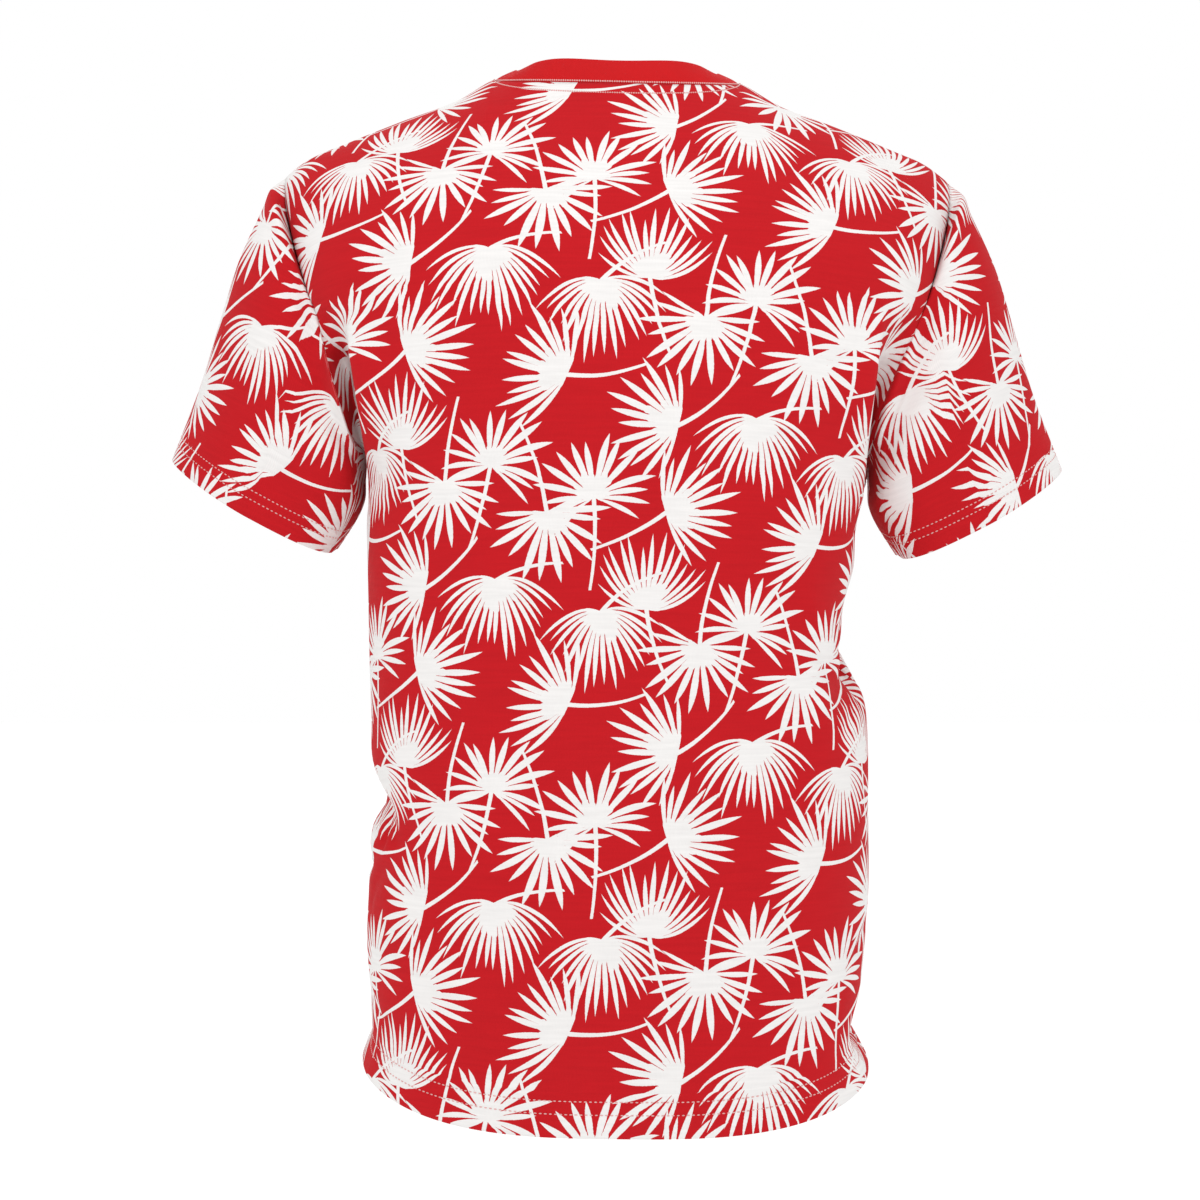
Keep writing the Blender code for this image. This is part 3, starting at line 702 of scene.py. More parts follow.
sleeves = {name: sleeve_grid(side) for name, side in (("sleeve_left", 1), ("sleeve_right", -1))}
for name, grid in sleeves.items():
    normals = normals_of(grid, True, name == "sleeve_left")
    grid -= normals * stitch_dips(flat_places(grid)[1], CUFF_STITCHES)[..., None]
print("sleeve grid", sleeves["sleeve_left"].shape[:2])

# %% [markdown]
# ## Laying the pieces flat
# The print belongs to the flat cloth, so each piece needs the shape that it had on the cutting
# table. Lengths along rows and columns would be right for a plain tube, but not near a neckline or
# the cap of a sleeve. Blender's unwrap with minimum stretch finds that shape, as a pattern cutter
# would. It works on every third point, which is quick, and a smooth curve gives the points between.
# Where the cloth turns sharply, at a roll and at the ends of the neckline, it takes more of them.

# %% Flatten a grid
FLATTEN_EVERY = 3
FLATTEN_ROUNDS = 12


def cut_area(points):
    """Area of a grid, from its quads' diagonals."""
    one, other = points[1:, 1:] - points[:-1, :-1], points[1:, :-1] - points[:-1, 1:]
    return float(np.linalg.norm(np.cross(one, other), axis=2).sum() / 2)


def placed(name, data):
    """An object with this data, in the scene."""
    thing = bpy.data.objects.new(name, data)
    bpy.context.scene.collection.objects.link(thing)
    return thing


def unwrapped(points, flip):
    """Where Blender's unwrap lays each point of a coarse grid, at its own size and turn."""
    count, width = points.shape[:2]
    row, col = np.mgrid[0 : count - 1, 0 : width - 1].reshape(2, -1)
    corners = np.stack([row, row, row + 1, row + 1], 1) * width
    corners += np.stack([col, col + 1, col + 1, col], 1)
    corners = corners[:, ::-1] if flip else corners
    mesh = bpy.data.meshes.new("flat pattern")
    mesh.from_pydata(points.reshape(-1, 3).tolist(), [], corners.tolist())
    mesh.uv_layers.new(name="flat")
    piece = placed("flat pattern", mesh)
    bpy.context.view_layer.objects.active = piece
    piece.select_set(True)
    bpy.ops.object.mode_set(mode="EDIT")
    bpy.ops.mesh.select_all(action="SELECT")
    bpy.ops.uv.unwrap(method="MINIMUM_STRETCH", correct_aspect=False, iterations=FLATTEN_ROUNDS)
    bpy.ops.object.mode_set(mode="OBJECT")
    read_uv = np.zeros(2 * corners.size, np.float32)
    mesh.uv_layers["flat"].data.foreach_get("uv", read_uv)
    place = np.zeros((count * width, 2))
    place[corners.ravel()] = read_uv.reshape(-1, 2)
    bpy.data.objects.remove(piece)
    return place.reshape(count, width, 2)


def flattened(points, flip):
    """Where each point of an open grid lies on flat cloth: metres, middle column upright, hem at 0."""
    picks = [np.unique(np.r_[0 : size : FLATTEN_EVERY, size // 2, size - 1]) for size in points.shape[:2]]
    if points.shape[1] > 2 * HALF_COLUMNS:
        turns = (NECK_COLUMNS - 1, NECK_COLUMNS, NECK_COLUMNS + 1, *ROLL_TURNS)
        sharp = [HALF_COLUMNS + side * turn for side in (-1, 1) for turn in turns]
        picks[1] = np.unique(np.r_[picks[1], sharp])
    place = unwrapped(points[np.ix_(*picks)], flip)

    # Its size comes from the area, and its direction from the middle column.
    one, other = place[1:, 1:] - place[:-1, :-1], place[1:, :-1] - place[:-1, 1:]
    area = abs(one[..., 0] * other[..., 1] - one[..., 1] * other[..., 0]).sum() / 2
    place = place * math.sqrt(cut_area(points) / area)
    middle = picks[1].tolist().index(points.shape[1] // 2)
    foot, head = place[0, middle], place[-1, middle]
    upright = (head - foot) / np.linalg.norm(head - foot)
    turn = np.array([[upright[1], -upright[0]], [upright[0], upright[1]]])
    place = (place - foot) @ turn.T
    for axis, size in enumerate(points.shape[:2]):
        place = np.moveaxis(smooth(picks[axis], np.moveaxis(place, axis, 0), np.arange(size)), 0, axis)
    return place


# %% The flat patterns
grids = {"back": back.points, "front": front.points, **sleeves}
open_grids = {name: opened(grid) if "sleeve" in name else grid for name, grid in grids.items()}
faces_flip = {"back": True, "front": False, "sleeve_left": True, "sleeve_right": False}
patterns = {name: flattened(open_grids[name], faces_flip[name]) for name in grids}

# %% [markdown]
# ## From a grid to cloth
# A grid has no thickness. Its points are copied inwards, and rims close the edges. A Solidify
# modifier would do this, but the wall changes here: the hems are turned up, so they are thicker and
# end in a small step inside. A folded edge gets a half-round rim, and a sewn edge a flat one. The
# turned-up part of a hem shows the cloth's printed face on the inside, so the print goes on round
# the fold. A second UV map spreads the piece out with no overlap, for baking its looks.

# %% The cloth's mesh
FOLDED = ((0.7, 0.35), (0.0, 0.5), (-0.7, 0.35))  # across and beyond, as shares of the wall
SEWN = ((0.7, 0.0), (0.0, 0.0), (-0.7, 0.0))
OUTER_SHARE = 0.70  # of the bake map's width that goes to the outer face
MAP_EDGE = 0.01  # left free round each part of that map
END_STRIPS = (1.6, 2.4)  # where the two side edges lie in the map's right margin, in half margins
END_WALL = 0.3  # and how wide they are


def leaned(points):
    """The points with the shirt's slight lean to the right, less at the shoulders, more at the neck."""
    x, z = points[..., 0], points[..., 2]
    rise = LEAN * x * (1 - SHOULDER_LEVEL * np.clip(1 + z / SHOULDER_FADE, 0, 1))
    rise += NECK_LEAN * np.tanh(x / NECK_LEAN_HALF) * np.clip(1 + z / NECK_LEAN_FADE, 0, 1)
    return points + np.stack([0 * x, 0 * x, rise], axis=-1)


def rim(edge, beside, normals, wall, shape):
    """Three rows that close the wall at an edge, from its outer face to its inner one."""
    beyond = edge - beside
    beyond = beyond / np.linalg.norm(beyond, axis=1)[:, None]
    middle = edge - normals * wall / 2
    return [middle + normals * wall / 2 * across + beyond * wall * reach for across, reach in shape]


def add_map(mesh, name, corners):
    """A UV map from the places of each face's corners."""
    mesh.uv_layers.new(name=name).data.foreach_set("uv", np.concatenate(corners).astype(np.float32).ravel())


def shell_rows(points, normals, wall, shapes):
    """Rows that go up the outer face, over the top rim, down the inner face and round below."""
    inner = points - normals * wall[:, None, None]
    low = rim(points[0], points[1], normals[0], wall[0], shapes[0])
    high = rim(points[-1], points[-2], normals[-1], wall[-1], shapes[1])
    return np.array([*points, *high, *inner[::-1], *low[::-1]])


# %% Helpers for its second map
def spread_heights(ring, charts):
    """How far up its part of the bake map each row of faces starts and ends."""
    step = np.linalg.norm(np.roll(ring, -1, axis=0) - ring, axis=2).mean(axis=1)
    starts, ends = np.zeros(len(ring)), np.zeros(len(ring))
    for chart in charts:
        run = np.r_[0, np.cumsum(step[chart])] / step[chart].sum()
        starts[chart], ends[chart] = run[:-1], run[1:]
    return starts, ends


def side_edges(count, width, flat, grid_row):
    """The faces that close the two side edges of a panel, with their places on both maps."""
    across = [[i, i + 1, 2 * count + 1 - i, 2 * count + 2 - i] for i in range(count - 1)]
    across += [list(range(count - 1, count + 4)), [*range(2 * count + 2, len(grid_row) - 1), 0]]
    faces, place, bake = [], [], []
    for edge in (0, width - 1):
        for layers in across:
            layers = layers[::-1] if edge else layers
            faces.append([layer * width + edge for layer in layers])
            at = grid_row[layers]
            place.append(flat[at, edge])
            through = (np.array(layers) > count + 1) * END_WALL + END_STRIPS[edge > 0]
            bake.append(np.stack([1 - MAP_EDGE * through / 2, MAP_EDGE + (1 - 2 * MAP_EDGE) * at / count], 1))
    return faces, place, bake


# %% Make cloth of a grid
def cloth(name, points, wall, flat, closed, flip, turned, shapes):
    """A closed shell from a grid whose rows go up from the hem. The hem covers the first of them,
    turned in number."""
    count, width = points.shape[:2]
    ring = shell_rows(points, normals_of(points, closed, flip), wall, shapes)
    layers = len(ring)
    grid_row = np.r_[0:count, [count - 1] * 3, count - 1 : -1 : -1, [0] * 4]
    charts = (np.r_[layers - 2, layers - 1, 0 : count + 1], np.arange(count + 1, layers - 2))
    layer = np.arange(layers)
    outer = np.isin(layer, charts[0])
    in_hem = ~outer & (layer >= 2 * count + 3 - turned)

    # The quads of that ring, with what each corner needs for the two maps.
    row, col = np.mgrid[0:layers, 0 : flat.shape[1] - 1].reshape(2, -1)
    rows, cols = np.stack([row, row, row + 1, row + 1], 1), np.stack([col, col + 1, col + 1, col], 1)
    faces = ((rows % layers) * width + cols % width).tolist()
    place = flat[grid_row[rows], cols]
    place = np.where(in_hem[row, None, None], 2 * flat[0, cols] - place, place)
    left = np.where(outer, MAP_EDGE, OUTER_SHARE + MAP_EDGE)[row, None]
    wide = np.where(outer, OUTER_SHARE, 1 - OUTER_SHARE - MAP_EDGE)[row, None] - 2 * MAP_EDGE
    starts, ends = spread_heights(ring, charts)
    v = np.stack([starts[row], starts[row], ends[row], ends[row]], 1)
    bake = np.stack([left + wide * cols / (flat.shape[1] - 1), MAP_EDGE + (1 - 2 * MAP_EDGE) * v], 2)
    place, bake = list(place), list(bake)
    if not closed:
        for parts, more in zip((faces, place, bake), side_edges(count, width, flat, grid_row)):
            parts += more

    # Only the ring's own faces are smooth, or have an inside, and a sewn rim is flat.
    flat_rim = (layer >= count - 1) & (layer <= count + 2) & (shapes[1] is SEWN)
    inside, smooth_face = np.zeros(len(faces), np.float32), np.zeros(len(faces), bool)
    inside[: len(row)] = (~outer & ~in_hem)[row]
    smooth_face[: len(row)] = ~flat_rim[row]
    if flip:
        faces, place, bake = ([part[::-1] for part in parts] for parts in (faces, place, bake))

    mesh = bpy.data.meshes.new(name)
    mesh.from_pydata(leaned(ring).reshape(-1, 3).tolist(), [], faces)
    mesh.attributes.new("inside", "FLOAT", "FACE").data.foreach_set("value", inside)
    mesh.polygons.foreach_set("use_smooth", smooth_face)
    add_map(mesh, "print", place)
    add_map(mesh, "OFBake", bake)
    print(name, "has", sum(len(face) - 2 for face in faces), "triangles")
    return placed(name, mesh)


# %% [markdown]
# ## The print: fan-palm leaves
# The cloth is printed all over with white leaves on a red ground, in a half-drop repeat: each column
# of the repeat starts half a repeat lower than the last one. A painted image would be simple to
# use, but its edges would blur in a close view. A leaf of a fan palm follows a rule, so the shader
# works it out at every point. Turn round the leaf's centre, and blades repeat with the angle. Each
# blade is joined to the next near the centre, and narrows to its tip further out. A bend of the
# angle with the distance makes blades droop to one side. Each leaf has its own size, spread and
# number of blades, and White Noise makes every blade differ in length.

# %% Helpers that add shader nodes
def feed(tree, socket, value):
    """Give an input a value, or join it to the socket that gives one."""
    if isinstance(value, bpy.types.NodeSocket):
        tree.links.new(value, socket)
    else:
        socket.default_value = value


def add(tree, kind, inputs=(), **settings):
    """A node with its settings and its inputs, which are given in order or by place or name."""
    node = tree.nodes.new(kind)
    for key, value in settings.items():
        setattr(node, key, value)
    for place, value in inputs.items() if isinstance(inputs, dict) else enumerate(inputs):
        feed(tree, node.inputs[place], value)
    return node


def calc(tree, operation, *inputs, clamp=False):
    """One step of arithmetic."""
    return add(tree, "ShaderNodeMath", inputs, operation=operation, use_clamp=clamp).outputs[0]


def vector(tree, operation, *inputs):
    """One step of arithmetic with vectors."""
    return add(tree, "ShaderNodeVectorMath", inputs, operation=operation).outputs[0]


def dot(tree, one, other):
    """The dot product of two vectors."""
    return add(tree, "ShaderNodeVectorMath", (one, other), operation="DOT_PRODUCT").outputs["Value"]


# %% One leaf with its stem, as a group of nodes
REPEAT_WIDE, REPEAT_HIGH = 0.172, 0.214
SHEAR = REPEAT_HIGH / 2 / REPEAT_WIDE  # of the half drop
INK_EDGE = 0.00022  # how soft the ink's edge is
# Each pair makes a blade differ from the next: how much by chance, and the least.
BLADE_LENGTH = (0.32, 0.78)  # as a share of the leaf's reach
BLADE_SPLIT = (0.5, 0.75)  # where it leaves its neighbours, as a share of the leaf's joined part
BLADE_NARROW = (0.5, 1.75)
BLADE_STRAY = (0.5, 0.1)  # how far it may stray to a side: more towards its tip, and at the centre
OUTER_SHORTER, OUTER_SPLIT = -0.15, -0.55  # what the last blades lose of length and of joined part
TAPER = (-0.62, 1.36)  # the two terms of a blade's width, from its tip down
WEB = (6, -5.26)  # and of the web that joins it to the next
LAST_BLADE = 0.1  # the outermost blade ends this much of a blade past its middle
STEM_THICK = 0.0026
STEM_TAPER, STEM_HALF = -0.2, 0.55  # of that thickness
STEM_MIDDLE, STEM_REACH = 0.49, 0.51  # of its length


def leaf_group():
    """A group of nodes: where the point is, and the leaf's sizes, give the ink there."""
    tree = bpy.data.node_groups.new("palm leaf", "ShaderNodeTree")
    face = tree.interface
    for name in ("Place", "Centre", "Across", "Along", "Stem Across", "Stem Along"):
        face.new_socket(name, in_out="INPUT", socket_type="NodeSocketVector")
    for name in ("Blades", "Spread", "Reach", "Joined", "Curl", "Stem Length", "Stem Bend", "Seed"):
        face.new_socket(name, in_out="INPUT", socket_type="NodeSocketFloat")
    face.new_socket("Ink", in_out="OUTPUT", socket_type="NodeSocketFloat")
    given = add(tree, "NodeGroupInput").outputs
    half = (REPEAT_WIDE / 2, REPEAT_HIGH / 2, 1)
    away = vector(tree, "SUBTRACT", given["Place"], given["Centre"])
    away = vector(tree, "WRAP", away, half, [-v for v in half])

    # The leaf: distance from its centre as a share of its reach, and angle in blades.
    x, y = dot(tree, away, given["Across"]), dot(tree, away, given["Along"])
    flat = add(tree, "ShaderNodeCombineXYZ", (x, y)).outputs[0]
    far = add(tree, "ShaderNodeVectorMath", (flat,), operation="LENGTH").outputs["Value"]
    half_blades = calc(tree, "MULTIPLY", given["Blades"], 0.5)
    per_turn = calc(tree, "DIVIDE", half_blades, given["Spread"])
    bent = calc(tree, "MULTIPLY_ADD", far, given["Curl"], 1)
    angle = calc(tree, "MULTIPLY", calc(tree, "ARCTAN2", x, y), calc(tree, "MULTIPLY", bent, per_turn))
    blade = calc(tree, "ROUND", angle)
    seed = {"W": calc(tree, "ADD", blade, given["Seed"])}
    chance = add(tree, "ShaderNodeTexWhiteNoise", seed, noise_dimensions="1D").outputs["Color"]
    chance = add(tree, "ShaderNodeSeparateColor", (chance,)).outputs
    stray = calc(tree, "MULTIPLY_ADD", far, *BLADE_STRAY)
    stray = calc(tree, "MULTIPLY", stray, calc(tree, "SUBTRACT", chance[0], 0.5))
    off = calc(tree, "ABSOLUTE", calc(tree, "ADD", calc(tree, "SUBTRACT", angle, blade), stray))
    off = calc(tree, "MULTIPLY", off, calc(tree, "MULTIPLY_ADD", chance[2], *BLADE_NARROW))

    # Each blade's length, and where it leaves its neighbours.
    turn = calc(tree, "DIVIDE", blade, half_blades)
    turn = calc(tree, "MULTIPLY", turn, turn)
    short = calc(tree, "MULTIPLY_ADD", turn, OUTER_SHORTER, 1)
    tip = calc(tree, "MULTIPLY", short, calc(tree, "MULTIPLY_ADD", chance[1], *BLADE_LENGTH))
    start = calc(tree, "MULTIPLY", given["Joined"], calc(tree, "MULTIPLY_ADD", chance[2], *BLADE_SPLIT))
    start = calc(tree, "MULTIPLY", start, calc(tree, "MULTIPLY_ADD", turn, OUTER_SPLIT, 1))
    part = calc(tree, "DIVIDE", calc(tree, "SUBTRACT", tip, far), calc(tree, "SUBTRACT", tip, start))
    lance = calc(tree, "MULTIPLY", part, calc(tree, "MULTIPLY_ADD", part, *TAPER))
    fill = calc(tree, "MAXIMUM", lance, calc(tree, "MULTIPLY_ADD", part, *WEB))
    wide = calc(tree, "DIVIDE", calc(tree, "MULTIPLY", far, given["Reach"]), per_turn)
    sharp = calc(tree, "MULTIPLY", wide, 0.5 / INK_EDGE)
    ink = calc(tree, "MULTIPLY_ADD", calc(tree, "SUBTRACT", fill, off), sharp, 0.5, clamp=True)
    last = calc(tree, "LESS_THAN", calc(tree, "ABSOLUTE", blade), calc(tree, "ADD", half_blades, LAST_BLADE))
    ink = calc(tree, "MULTIPLY", ink, last)

    # The stem: a thin bent line.
    x, y = dot(tree, away, given["Stem Across"]), dot(tree, away, given["Stem Along"])
    bow = calc(tree, "MULTIPLY", given["Stem Bend"], calc(tree, "MULTIPLY", y, y))
    aside = calc(tree, "SUBTRACT", x, bow)
    aside = calc(tree, "MULTIPLY", calc(tree, "ABSOLUTE", aside), given["Stem Length"])
    thick = calc(tree, "MULTIPLY_ADD", y, STEM_TAPER * STEM_THICK, STEM_HALF * STEM_THICK)
    stem = calc(tree, "MULTIPLY_ADD", calc(tree, "SUBTRACT", thick, aside), 1 / INK_EDGE, 0.5, clamp=True)
    reaches = calc(tree, "COMPARE", y, STEM_MIDDLE, STEM_REACH)
    ink = calc(tree, "MAXIMUM", ink, calc(tree, "MULTIPLY", stem, reaches))
    add(tree, "NodeGroupOutput", (ink,))
    return tree


# %% The leaves of one repeat
LEAF_COLUMNS = (
    "x", "y", "turn", "spread", "blades", "reach", "joined", "curl", "stem_turn", "stem_length", "stem_bend",
)
SEED_STEP = 40  # from one leaf's random numbers to the next's: more than a leaf has blades
LEAVES = (  # millimetres and degrees
    (17, 0, -8, 112, 14, 44, 0.34, -0.12, 176, 60, 7),
    (22, 140, 176, 120, 17, 52, 0.36, 0.70, 40, 46, 14),
    (72, 48, -78, 92, 13, 50, 0.40, 0.10, 62, 50, -12),
    (52, 142, 4, 104, 15, 51, 0.38, 0.66, 172, 50, -7),
    (88, 118, 187, 108, 14, 44, 0.36, -0.06, 4, 56, 8),
    (64, 205, 74, 92, 13, 49, 0.40, 0.12, 232, 54, 11),
    (124, 54, 182, 120, 17, 52, 0.36, 0.70, 60, 44, 13),
    (120, 128, 16, 110, 14, 43, 0.34, -0.12, 190, 56, 6),
    (158, 98, 168, 106, 13, 45, 0.36, -0.06, -8, 60, -9),
    (172, 186, -66, 92, 13, 50, 0.40, 0.15, 96, 50, -13),
)


def sheared(x, y):
    """A place in the coordinates where the half-drop repeat is a plain one."""
    return x, y - x * SHEAR, 0


def directions(turn, size):
    """Vectors whose dot product with a sheared place gives it across and along a turned leaf."""
    turn = math.radians(turn)
    across, along = (math.cos(turn), -math.sin(turn)), (math.sin(turn), math.cos(turn))
    return [((x + y * SHEAR) / size, y / size, 0) for x, y in (across, along)]


def leaf_print(tree, place):
    """Ink from 0 to 1 at a place on the flat cloth."""
    x, y, _ = add(tree, "ShaderNodeSeparateXYZ", (place,)).outputs
    place = add(tree, "ShaderNodeCombineXYZ", (x, calc(tree, "MULTIPLY_ADD", x, -SHEAR, y))).outputs[0]
    group = bpy.data.node_groups.get("palm leaf") or leaf_group()
    ink = 0.0
    for seed, row in enumerate(LEAVES):
        leaf = dict(zip(LEAF_COLUMNS, row))
        reach, length = leaf["reach"] / 1000, leaf["stem_length"] / 1000
        across, along = directions(leaf["turn"], reach)
        stem_across, stem_along = directions(leaf["stem_turn"], length)
        centre = sheared(leaf["x"] / 1000, leaf["y"] / 1000)
        shape = (leaf["blades"], math.radians(leaf["spread"]), reach, leaf["joined"], leaf["curl"])
        stem = (length, leaf["stem_bend"] / leaf["stem_length"])
        inputs = (place, centre, across, along, stem_across, stem_along, *shape, *stem, SEED_STEP * seed)
        node = add(tree, "ShaderNodeGroup", inputs, node_tree=group)
        ink = calc(tree, "MAXIMUM", ink, node.outputs[0])
    return ink


# %% [markdown]
# ## The cloth's finish
# Jersey is knitted: fine upright ribs of loops on its face, with soft fibres on top. From arm's
# length the ribs are almost too fine to see, so they are broken up by noise and kept faint; what the
# eye sees is a slight grid and small streaks. The grid is painted into the colour as shade, darker
# where the loops lie low. The inside shows the cloth's own colour with a shadow of the print. The
# finish reads the flat places of the cloth, so it follows every fold.

# %% Helpers that make a finish
def mixed(tree, factor, one, other, kind="MIX"):
    """Two colours mixed."""
    inputs = {0: factor, 6: one, 7: other}
    return add(tree, "ShaderNodeMix", inputs, data_type="RGBA", blend_type=kind).outputs[2]


def noise(tree, place, scale, detail=2, output="Fac", stretch=None):
    """Soft noise on the flat cloth."""
    if stretch:
        place = add(tree, "ShaderNodeMapping", {"Vector": place, "Scale": stretch}).outputs[0]
    values = {"Vector": place, "Scale": scale, "Detail": detail}
    return add(tree, "ShaderNodeTexNoise", values, noise_dimensions="2D").outputs[output]


def new_finish(name, plain):
    """A material with its tree and its shader, whose plain inputs are set by name."""
    made = bpy.data.materials.new(name)
    made.use_nodes = True
    shader = made.node_tree.nodes["Principled BSDF"]
    for key, value in plain.items():
        shader.inputs[key].default_value = value
    return made, made.node_tree, shader


def toned(tree, shader, colour, tone):
    """Give the shader a colour, lighter or darker by a tone."""
    grey = add(tree, "ShaderNodeCombineColor", (tone, tone, tone)).outputs[0]
    feed(tree, shader.inputs["Base Color"], mixed(tree, 1.0, colour, grey, "MULTIPLY"))


def bumped(tree, shader, height, strength, distance):
    """Give the shader a relief too fine to model."""
    bump = add(tree, "ShaderNodeBump", {"Strength": strength, "Distance": distance, "Height": height})
    feed(tree, shader.inputs["Normal"], bump.outputs[0])


# %% Jersey
RED = (0.502, 0.0104, 0.0153, 1)
WHITE = (0.800, 0.783, 0.770, 1)
INSIDE_RED = (0.66, 0.16, 0.16, 1)
INSIDE_WHITE = (0.84, 0.70, 0.68, 1)
WALE, COURSE = 0.00085, 0.00070  # pitch of the knit's ribs and rows
LOOP_SCALE, LOOP_SHIFT = 130, 9  # how unevenly they are spaced
COURSE_PART = (0.3, 0.7)  # how much the rows break up the ribs, and what is left of them
WARP_SCALE, PRINT_WARP = 22, 0.0016  # how the print lies unevenly, in metres
RAGGED_SCALE, RAGGED = 900, 1.6  # how the knit frays the ink's edge, in widths of that edge
STREAK_SCALE, STREAK_STRETCH = 260, (0.12, 1.6, 1)
CLOUD_SCALE = 30
JERSEY_TONE = 0.905  # the darkest tone, and how much lighter each of these three makes it
# the loops' share is painted shade: darker where the loops lie low, lighter on their tops
LOOP_PAINTED_SHADE, STREAK_TONE, CLOUD_TONE = 0.03, 0.14, 0.05
STREAK_RELIEF = 1.5  # against the loops' 1
JERSEY_RELIEF = (0.35, 0.00012)  # strength and depth
COTTON_ROUGH = (0.1, 0.82)  # more by chance, and the least
COTTON = {"Specular IOR Level": 0.08, "Sheen Weight": 0.02}


def knit(tree, place):
    """The height of the knit's loops, from -1 to 1, unevenly spaced."""
    stray = vector(tree, "ADD", noise(tree, place, LOOP_SCALE, 1, "Color"), (-0.5,) * 3)
    x, y, _ = add(tree, "ShaderNodeSeparateXYZ", (place,)).outputs
    strays = add(tree, "ShaderNodeSeparateXYZ", (stray,)).outputs
    waves = []
    for at, off, pitch in ((x, strays[0], WALE), (y, strays[1], COURSE)):
        turn = calc(tree, "MULTIPLY_ADD", at, 2 * math.pi / pitch, calc(tree, "MULTIPLY", off, LOOP_SHIFT))
        waves.append(calc(tree, "SINE", turn))
    return calc(tree, "MULTIPLY", waves[0], calc(tree, "MULTIPLY_ADD", waves[1], *COURSE_PART))


def print_place(tree, place, start, turn):
    """Where a point of the piece was on the printed cloth, a little unevenly."""
    cut = {"Vector": place, "Location": (*start, 0), "Rotation": (0, 0, turn)}
    cut = add(tree, "ShaderNodeMapping", cut).outputs[0]
    moved = cut
    for scale, size in ((WARP_SCALE, PRINT_WARP), (RAGGED_SCALE, INK_EDGE * RAGGED)):
        stray = noise(tree, cut, scale, 1, "Color")
        moved = vector(tree, "MULTIPLY_ADD", stray, (size,) * 3, moved)
    return moved


def jersey(name, start, turn):
    """Printed jersey. start and turn say where this piece was cut from the printed cloth."""
    made, tree, shader = new_finish(name, {**COTTON, "Sheen Roughness": 0.5})
    place = add(tree, "ShaderNodeUVMap", uv_map="print").outputs[0]
    ink = leaf_print(tree, print_place(tree, place, start, turn))
    inside = add(tree, "ShaderNodeAttribute", attribute_name="inside").outputs["Fac"]
    loops = knit(tree, place)
    streaks = noise(tree, place, STREAK_SCALE, 2, stretch=STREAK_STRETCH)
    clouds = noise(tree, place, CLOUD_SCALE, 3)

    face = mixed(tree, ink, RED, WHITE)
    reverse = mixed(tree, ink, INSIDE_RED, INSIDE_WHITE)
    # painted shade of the knit: the colour is darker where the loops lie low
    tone = calc(tree, "MULTIPLY_ADD", loops, LOOP_PAINTED_SHADE, JERSEY_TONE)
    tone = calc(tree, "MULTIPLY_ADD", streaks, STREAK_TONE, tone)
    tone = calc(tree, "MULTIPLY_ADD", clouds, CLOUD_TONE, tone)
    toned(tree, shader, mixed(tree, inside, face, reverse), tone)
    bumped(tree, shader, calc(tree, "MULTIPLY_ADD", streaks, STREAK_RELIEF, loops), *JERSEY_RELIEF)
    feed(tree, shader.inputs["Roughness"], calc(tree, "MULTIPLY_ADD", clouds, *COTTON_ROUGH))
    return made


# %% [markdown]
# ## The four printed pieces
# Each piece was cut from the printed cloth at its own place, so the print does not run on across a
# seam. A sleeve was cut with its own middle upright, so its leaves turn with the arm.

# %% Make them
CUTS = {  # start on the printed cloth, and turn
    "back": ((0.031, 0.012), 0.0),
    "front": ((0.118, 0.085), 0.0),
    "sleeve_left": ((0.060, 0.150), 0.06),
    "sleeve_right": ((0.140, 0.040), -0.05),
}
printed = {}
for name, grid in grids.items():
    wall = np.where(np.arange(len(grid)) < HEM_ROWS, HEM, JERSEY)
    tube, flip = "sleeve" in name, faces_flip[name]
    piece = cloth(name + "_cloth", grid, wall, patterns[name], tube, flip, HEM_ROWS, (FOLDED, SEWN))
    piece.data.materials.append(jersey("printed jersey, " + name.replace("_", " "), *CUTS[name]))
    printed[name] = piece

# %% [markdown]
# ## The neckband
# The neckband is a strip of rib, folded double and sewn round the neckline, shorter than the
# neckline so that it stands up and leans in. It is one tube of cloth with a rounded top. It could be a
# curve with a bevel, but the rows from the neckline keep it exactly on its seam.

# %% Rows of the band
BAND_ROWS = 12
BAND_PLUMP = 0.0007  # how far the band's face stands out
BAND_FULLEST = 0.7  # less than 1 is fullest near the seam
BAND_SEAM = 0.12  # how much of the band's height the seam's groove takes


def band_grid():
    """Rows from the neckline up to the band's folded top."""
    middle = HALF_COLUMNS
    spread = slice(middle - NECK_COLUMNS, middle + NECK_COLUMNS + 1)
    ring = np.concatenate([back.points[-1, spread][::-1], front.points[-1, spread][1:-1]])
    turns = np.abs(np.linspace(-0.5, 1.5, len(ring) + 1)[:-1])
    turns = np.minimum(turns, 2 - turns)
    knots = column(BAND_COLUMNS, BAND, "turn")
    lean = smooth(knots, column(BAND_COLUMNS, BAND, "lean"), turns)
    lift = smooth(knots, column(BAND_COLUMNS, BAND, "lift"), turns)
    inwards = np.array([0, (NECK_BACK - NECK_FRONT) / 2]) - ring[:, :2]
    inwards /= np.linalg.norm(inwards, axis=1)[:, None]
    step = np.column_stack([inwards * lean[:, None], lift])
    return np.array([ring + step * share for share in np.linspace(0, 1, BAND_ROWS + 1)])


def plump(grid):
    """The band's face stands out a little between its seam and its fold."""
    share = np.linspace(0, 1, len(grid))[:, None, None]
    out = np.sin(math.pi * share**BAND_FULLEST) * BAND_PLUMP
    out -= NECK_GROOVE * np.exp(-((share / BAND_SEAM) ** 2))
    return grid + normals_of(grid, True, False) * out


# %% Rib
BAND_RED = (0.580, 0.0125, 0.0150, 1)
RIB_PITCH, RIB_SHIFT = 0.0012, 5  # between two ridges, and how unevenly they are spaced
RIB_TONE = 0.93  # the darkest tone, and how much lighter the ridges and clouds make it
# the ridges' share is painted shade: darker in the grooves between the ridges
RIDGE_PAINTED_SHADE, RIB_CLOUD_TONE = 0.03, 0.08
RIB_SCALE, RIB_CLOUD_SCALE = 200, 60
RIB_RELIEF = (0.5, 0.0002)


